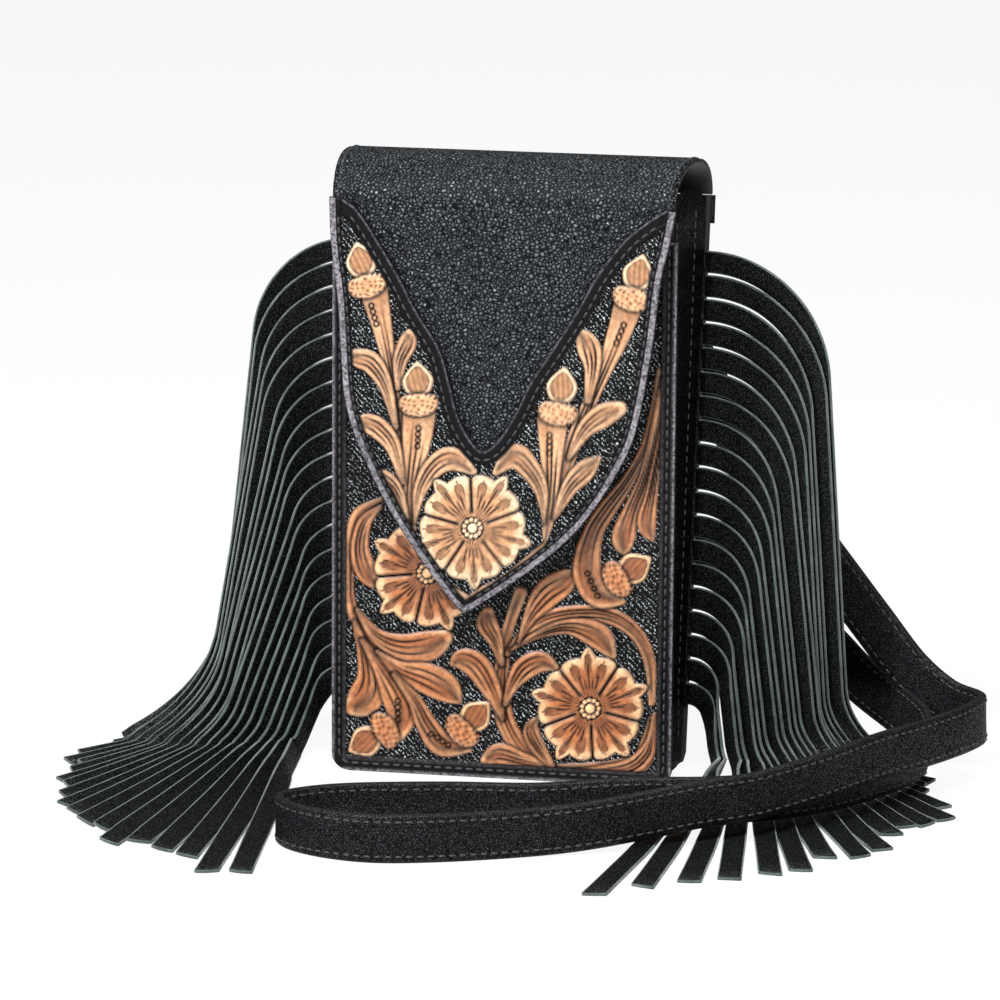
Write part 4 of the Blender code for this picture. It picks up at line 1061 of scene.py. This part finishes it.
def strand_plan(index, side):
    """How one strand falls: 0 is the top strand. side is 1 on the right and -1 on the left.

    Strands hang in bunches of two or three with gaps between, and the low ones reach out further.
    """
    dice = random.Random(100 * index + (7 if side > 0 else 3))
    bunch = (2 * index + 1) // 5
    lot = random.Random(10 * bunch + (2 if side > 0 else 5))
    share = index / (STRANDS - 1)
    close = (index + 0.75 * (2.5 * bunch + 0.5 - index)) / (STRANDS - 1)
    if side > 0:
        fall = (38.0, 12.0, 94.0, 87.0, 76.0, 30.0, 0.8, 8.0)
    else:
        fall = (30.0, 44.0, 97.0, 84.0, 57.0, 52.0, 0.9, 22.0)
    reach, first, last, drop, low_drop, landing, ease, hang = fall
    sweep = first + (last - first) * share**ease + dice.uniform(-0.3, 0.3)
    return {
        "z": FRINGE_TOP - STRAND_WIDTH / 2 - share * (FRINGE_TOP - FRINGE_BOTTOM - STRAND_WIDTH),
        "arch": reach * (1 - close) + 8.0 * close + lot.uniform(-0.7, 0.7),
        "louvre": math.radians(8.0 + lot.uniform(-4, 4)),
        "hang": math.radians(hang + 40.0 * share),
        "sweep": math.radians(sweep),
        "between": math.radians((last - first) / (STRANDS - 1)) * 0.85,
        "length": STRAND_LENGTH - 14.0 * share + dice.uniform(-7, 5),
        "drop": math.radians(drop + (low_drop - drop) * close + lot.uniform(-1, 1)),
        "landing": landing + (12.0 - landing) * share,
    }


def strand_route(index, side, fineness):
    """Points down one strand with the direction of its width, both for the right-hand side of the bag.

    A strand leaves the seam on edge, arches over, hangs with its face to the front and turns flat on the
    floor. Each one stays a little in front of the strand above it. Most are clear of each other, but some
    low neighbours cut into each other near the seam and on the floor.
    """
    plan = strand_plan(index, side)
    z = plan["z"]
    place = Vector((seam_x(z), seam_y(z), z))
    pitch = 0.0
    landing_from = None
    landed = 0.0
    travelled = 0.0
    step = 1.0
    made = []
    while True:
        if landing_from:
            landed = max(landed, 1 - pitch / landing_from)
        flat = landed * landed * (3 - 2 * landed)
        ahead = min(1.0, travelled / min(32.0, 9.0 + 1.1 * plan["arch"]))
        heading = math.radians(3.0) + (plan["hang"] - math.radians(3.0)) * ahead * ahead * (3 - 2 * ahead)
        heading += (plan["sweep"] - heading) * flat
        out = Vector((math.cos(heading), -math.sin(heading), 0))
        along = out * math.cos(pitch) - Vector((0, 0, math.sin(pitch)))
        up = out * math.sin(pitch) + Vector((0, 0, math.cos(pitch)))
        across = along.cross(up)
        apart = max(1.0, plan["between"] * math.dist((place.x, place.y), (seam_x(0), seam_y(0))))
        shingle = 0.0
        if apart < STRAND_WIDTH:
            tilt = math.asin(min(0.92, 1.7 * STRAND_THICK / apart))
            shingle = tilt * min(1.0, (STRAND_WIDTH / apart - 1) * 3)
        twist = -plan["louvre"] * min(1.0, travelled / 18.0)
        twist += (math.pi / 2 - shingle - twist) * flat
        width = up * math.cos(twist) - across * math.sin(twist)
        made.append((travelled, place.copy(), width, pitch))
        if travelled >= plan["length"]:
            break
        travelled += step
        rest = STRAND_THICK / 2 + 0.05 + STRAND_WIDTH / 2 * abs(width.z)
        height = max(0.0, place.z - rest)
        turning = plan["landing"] * (1 - math.cos(pitch))
        if travelled > 12.0 and (height <= turning or height < 0.3):
            landing_from = landing_from or max(0.2, pitch)
            pitch = max(0.0, pitch - step / plan["landing"])
            pitch = min(pitch, math.acos(max(-1.0, 1 - height / plan["landing"])))
        elif landing_from is None:
            pitch = min(plan["drop"], pitch + step / plan["arch"])
        place = place + along * step
        if travelled > 12.0 and place.z < rest:
            place.z = rest
        if landing_from and place.z > rest and pitch < 0.3:
            place.z -= min(place.z - rest, 0.25 * step)
    return thin_out(made, fineness)


def thin_out(made, count):
    """Keeps count points of a route, closer together where the strand bends or twists."""
    weight = [0.0]
    for before, after in zip(made, made[1:]):
        bend = abs(after[3] - before[3]) + (after[2] - before[2]).length
        weight.append(weight[-1] + 0.012 + bend)
    kept = []
    target = 0
    for entry, reached in zip(made, weight):
        if reached >= weight[-1] * target / (count - 1) - 1e-9:
            kept.append(entry)
            target += 1
            while target < count and reached >= weight[-1] * target / (count - 1):
                target += 1
    if kept[-1] is not made[-1]:
        kept.append(made[-1])
    return [(place, width) for _, place, width, _ in kept]


def fringe(name, side, replaced):
    """The strips of one comb of leather: grain on one side, suede on the other and rough cut edges."""
    points = []
    faces = []
    choose = []
    shares = (-1.0, -0.9, -0.35, 0.35, 0.9, 1.0)
    halves = (0.42, 0.52, 0.52, 0.52, 0.52, 0.42)
    for index in range(STRANDS):
        dice = random.Random(40 * index + (3 if side > 0 else 9))
        route = strand_route(index, side, 64)
        places = [place for place, _ in route]
        cup = dice.uniform(0.05, 0.32)
        slant = dice.uniform(-1.6, 1.6)
        start = len(points)
        for i, (place, width) in enumerate(route):
            along = (places[min(len(places) - 1, i + 1)] - places[max(0, i - 1)]).normalized()
            face = along.cross(width).normalized()
            fade = min(1.0, i / 8)
            tip = max(0.0, 1 - (len(route) - 1 - i) / 2)
            for sign in (1, -1):
                for k in range(6):
                    share = shares[k] * sign
                    spot = place + width * share * STRAND_WIDTH / 2 * (1 + 0.03 * tip)
                    spot = spot + face * (halves[k] * sign + cup * fade * (share * share - 0.4))
                    spot = spot + along * slant * share * tip
                    spot.z = max(spot.z, 0.02)
                    points.append((side * spot.x, spot.y, spot.z))
        # Faces 1 to 3 of a ring are the grain side, 7 to 9 the flesh side and the others the cut edges.
        for i in range(len(route) - 1):
            for k in range(12):
                a = start + 12 * i + k
                b = start + 12 * i + (k + 1) % 12
                faces.append((a, b, b + 12, a + 12))
                choose.append(2 if k in (0, 4, 5, 6, 10, 11) else (0 if k < 5 else 1))
        faces.append(tuple(start + k for k in range(12)))
        faces.append(tuple(start + 12 * (len(route) - 1) + k for k in range(12)))
        choose += [2, 2]
    piece(name, points, faces, [GRAIN, FLESH, CUT_EDGE], "bag", choose, [replaced])


def fringe_header(name, side):
    """The uncut edge of the comb, held in the side seam."""
    rows = []
    top, low = FRINGE_TOP, FRINGE_BOTTOM
    for step in range(31):
        z = low + (top - low) * step / 30
        y = seam_y(z) + STRAND_THICK / 2
        rows.append([(side * (seam_x(z) - HEADER_WIDTH * k / 4), y, z) for k in range(5)])
    looks = [FLESH, CUT_EDGE, GRAIN]
    plate(name, rows, STRAND_THICK, looks, "bag", [], outward=-side, edge=0.1)


# Strap


def strap_points():
    """Middle line of the strap with the direction of its width, from the right end to the left end."""
    rear = BACK_TOP + GAP + STRAP_THICK / 2
    lift = STRAP_WIDTH / 2 + STRAP_ON_FLOOR
    over = STRAP_WIDTH / 2 + STRAP_ON_STRANDS
    top = BODY_HEIGHT - STRIP_HEIGHT - 0.8
    start = top - 16
    flat = (1, 0, 0)
    edge = (0, 0, 1)
    slant = (0.8, 0, 0.6)
    return [
        ((HALF - 11, back_y(top) + GAP + STRAP_THICK / 2, top), flat),
        ((HALF - 11, back_y(start) + 1.6 + STRAP_THICK / 2, start), flat),
        ((HALF - 8, rear + 3, 140), (0.99, 0, 0.12)),
        ((HALF + 2, rear + 7, 118), (0.95, 0, 0.3)),
        ((HALF + 15, rear + 8, 98), (0.86, 0, 0.5)),
        ((HALF + 31.4, rear + 8, 76), slant),
        ((HALF + 44.8, rear + 8, 58.8), slant),
        ((HALF + 56.6, rear + 8, 43.7), (0.79, 0, 0.61)),
        ((HALF + 68.4, rear + 7, 29.5), (0.74, -0.05, 0.67)),
        ((HALF + 81, rear + 3, 21), (0.5, -0.15, 0.85)),
        ((HALF + 92, rear - 6, 19.5), (0.2, -0.1, 0.97)),
        ((HALF + 95, FRONT + 33, over + 8), (-0.1, 0.05, 1)),
        ((HALF + 91, FRONT + 17, over + 8), (-0.1, 0.05, 1)),
        ((HALF + 81.4, FRONT - 1.5, over + 7.5), (-0.08, 0.05, 1)),
        ((HALF + 69.4, FRONT - 20.5, over + 7), (-0.05, 0, 1)),
        ((HALF + 56, FRONT - 42.5, over + 5.5), edge),
        ((HALF + 38, FRONT - 60.5, over + 2.5), edge),
        ((HALF + 21, FRONT - 70.5, over + 1), edge),
        ((HALF + 3, FRONT - 81, over - 1.5), edge),
        ((HALF - 14, FRONT - 90, lift + 1), edge),
        ((HALF - 32, FRONT - 98, lift), edge),
        ((HALF - 53, FRONT - 108, lift), edge),
        ((HALF - 71, FRONT - 113, lift), edge),
        ((HALF - 86, FRONT - 111, lift), edge),
        ((HALF - 99, FRONT - 104, lift), edge),
        ((HALF - 105.5, FRONT - 94, lift), edge),
        ((HALF - 101, FRONT - 85, lift), edge),
        ((HALF - 87, FRONT - 76, lift), edge),
        ((HALF - 60, FRONT - 68, lift), edge),
        ((HALF - 30, FRONT - 64.5, lift + 0.5), edge),
        ((HALF - 2, FRONT - 64, over - 0.8), edge),
        ((HALF + 22, FRONT - 61, over), edge),
        ((HALF + 42, FRONT - 50, over), edge),
        ((HALF + 58, FRONT - 34, over), edge),
        ((HALF + 69, FRONT - 14, over), edge),
        ((HALF + 76, FRONT + 5, over), edge),
        ((HALF + 78.5, FRONT + 22, over + 0.5), (0.05, 0, 1)),
        ((HALF + 75, FRONT + 40, over + 2), (0.2, 0, 0.97)),
        ((HALF + 64, FRONT + 56, over + 5), (0.45, 0, 0.89)),
        ((HALF + 50, rear + 19, 23.5), (0.62, 0, 0.78)),
        ((HALF + 36, rear + 22, 36), (0.66, 0, 0.75)),
        ((HALF + 12, rear + 23, 55), (0.64, 0, 0.77)),
        ((0, rear + 20, 84), (0.62, 0, 0.78)),
        ((33 - HALF, rear + 15, 104), (0.75, 0, 0.66)),
        ((17 - HALF, rear + 8, 128), (0.93, 0, 0.3)),
        ((11 - HALF, back_y(start) + 1.6 + STRAP_THICK / 2, start), flat),
        ((11 - HALF, back_y(top) + GAP + STRAP_THICK / 2, top), flat),
    ]


def strap():
    control = [(*place, *width) for place, width in strap_points()]
    path = np.array(smooth_path(control, 9))
    middle = path[:, :3]
    heading = np.gradient(middle, axis=0)
    heading /= np.linalg.norm(heading, axis=1)[:, None]
    width = path[:, 3:]
    width = width - heading * (width * heading).sum(1)[:, None]
    width /= np.linalg.norm(width, axis=1)[:, None]
    face = np.cross(heading, width)
    half, thick, ease = STRAP_WIDTH / 2, STRAP_THICK / 2, 0.7
    flat = [(a, -thick) for a in (-half + ease, -half / 2, 0, half / 2, half - ease)]
    section = [(-half, -thick * 0.55), *flat, (half, -thick * 0.55)]
    section += [(-a, -b) for a, b in section]
    count = len(section)
    points = []
    for i in range(len(path)):
        points += [tuple(middle[i] + width[i] * a + face[i] * b) for a, b in section]
    faces = []
    choose = []
    # The six faces round the two edges are painted.
    for i in range(len(path) - 1):
        for k in range(count):
            a, b = count * i + k, count * i + (k + 1) % count
            faces.append((a, b, b + count, a + count))
            choose.append(1 if k in (0, 5, 6, 7, 12, 13) else 0)
    faces.append(tuple(range(count)))
    faces.append(tuple(count * (len(path) - 1) + k for k in range(count)))
    choose += [1, 1]
    looks = [SMOOTH, EDGE_PAINT]
    piece("long_leather_strap", points, faces, looks, "bag", choose, ["strap"])
    lines = []
    for sign in (-1, 1):
        for away in (-1, 1):
            spots = middle + width * sign * (half - 2.1) + face * away * (thick + 0.02)
            lines.append(np.c_[spots, face * away][6:-6].tolist())
    stitches("strap_stitches", lines, "bag", pitch=3.3, long=2.4, thick=0.36)


flap_leather()
gusset()
back_panel()
back_strip()
fringe("fringe_strands_right", 1, "fringe_right")
fringe("fringe_strands_left", -1, "fringe_left")
fringe_header("fringe_header_right", 1)
fringe_header("fringe_header_left", -1)
strap()
for name in ("snap_socket", "snap_stud"):
    node = frame["nodes"][name]
    node.data.materials.clear()
    node.data.materials.append(STEEL)


# Camera, floor and light


def camera():
    """The photograph's view: from the right and above, through a long lens."""
    yaw, rise, roll = math.radians(11.5), math.radians(11.3103), math.radians(0.4061)
    towards = Vector((-math.sin(yaw) * math.cos(rise), math.cos(yaw) * math.cos(rise), -math.sin(rise)))
    right = Vector((math.cos(yaw), math.sin(yaw), 0))
    up = right.cross(towards)
    across = right * math.cos(roll) + up * math.sin(roll)
    above = up * math.cos(roll) - right * math.sin(roll)
    data = bpy.data.cameras.new("photo_camera")
    made = bpy.data.objects.new("photo_camera", data)
    bpy.context.scene.collection.objects.link(made)
    turned = Matrix((across, above, -towards)).transposed().to_4x4()
    aim = Vector((-3.1309, 0.0, 88.6848)) * MM
    distance = 2.0
    made.matrix_world = Matrix.Translation(aim - towards * distance) @ turned
    data.sensor_width = 36.0
    data.lens = 225.08
    data.clip_start = 0.05
    data.clip_end = 20.0
    bpy.context.scene.camera = made


def lamp(name, place, size, power):
    """A white softbox that points at the bag."""
    data = bpy.data.lights.new(name, "AREA")
    data.shape = "RECTANGLE"
    data.size, data.size_y = size
    data.energy = power
    made = bpy.data.objects.new(name, data)
    bpy.context.scene.collection.objects.link(made)
    made.location = place
    made.rotation_euler = (Vector((0, 0, 0.1)) - Vector(place)).to_track_quat("-Z", "Y").to_euler()


def floor():
    """A pale floor that the camera sees as nearly white."""
    bpy.ops.mesh.primitive_plane_add(size=6.0, location=(0, 0, 0))
    made = bpy.context.object
    made.name = "floor"
    look, tree, shader = new_material("pale_floor")
    shader.inputs["Base Color"].default_value = (0.86, 0.86, 0.86, 1.0)
    shader.inputs["Roughness"].default_value = 0.9
    seen = add(tree, "LightPath", {}, "Is Camera Ray")
    white = add(tree, "Emission", {"Color": (1.0, 1.0, 1.0, 1.0), "Strength": 1.0})
    share = add(tree, "Math", {0: seen, 1: 0.9}, operation="MULTIPLY")
    both = add(tree, "MixShader", {0: share, 1: shader.outputs[0], 2: white})
    tree.links.new(both, tree.nodes["Material Output"].inputs["Surface"])
    made.data.materials.append(look)


def world():
    made = bpy.data.worlds.new("studio")
    made.use_nodes = True
    bpy.context.scene.world = made
    tree = made.node_tree
    back = tree.nodes["Background"]
    back.inputs["Color"].default_value = (1.0, 1.0, 1.0, 1.0)
    seen = add(tree, "LightPath", {}, "Is Camera Ray")
    power = add(tree, "Mix", {"Factor": seen, "A": 0.09, "B": 1.0})
    tree.links.new(power, back.inputs["Strength"])


camera()
floor()
world()
lamp("key_softbox", (-0.8, -1.4, 1.3), (0.5, 0.5), 37)
lamp("band_softbox", (0.1, -0.85, 1.4), (1.4, 0.2), 34)
lamp("right_softbox", (1.3, -0.9, 0.9), (0.4, 0.8), 3)
lamp("top_softbox", (0.1, 0.6, 1.6), (1.2, 0.4), 8)
scene = bpy.context.scene
scene.view_settings.view_transform = "Standard"
scene.view_settings.look = "None"
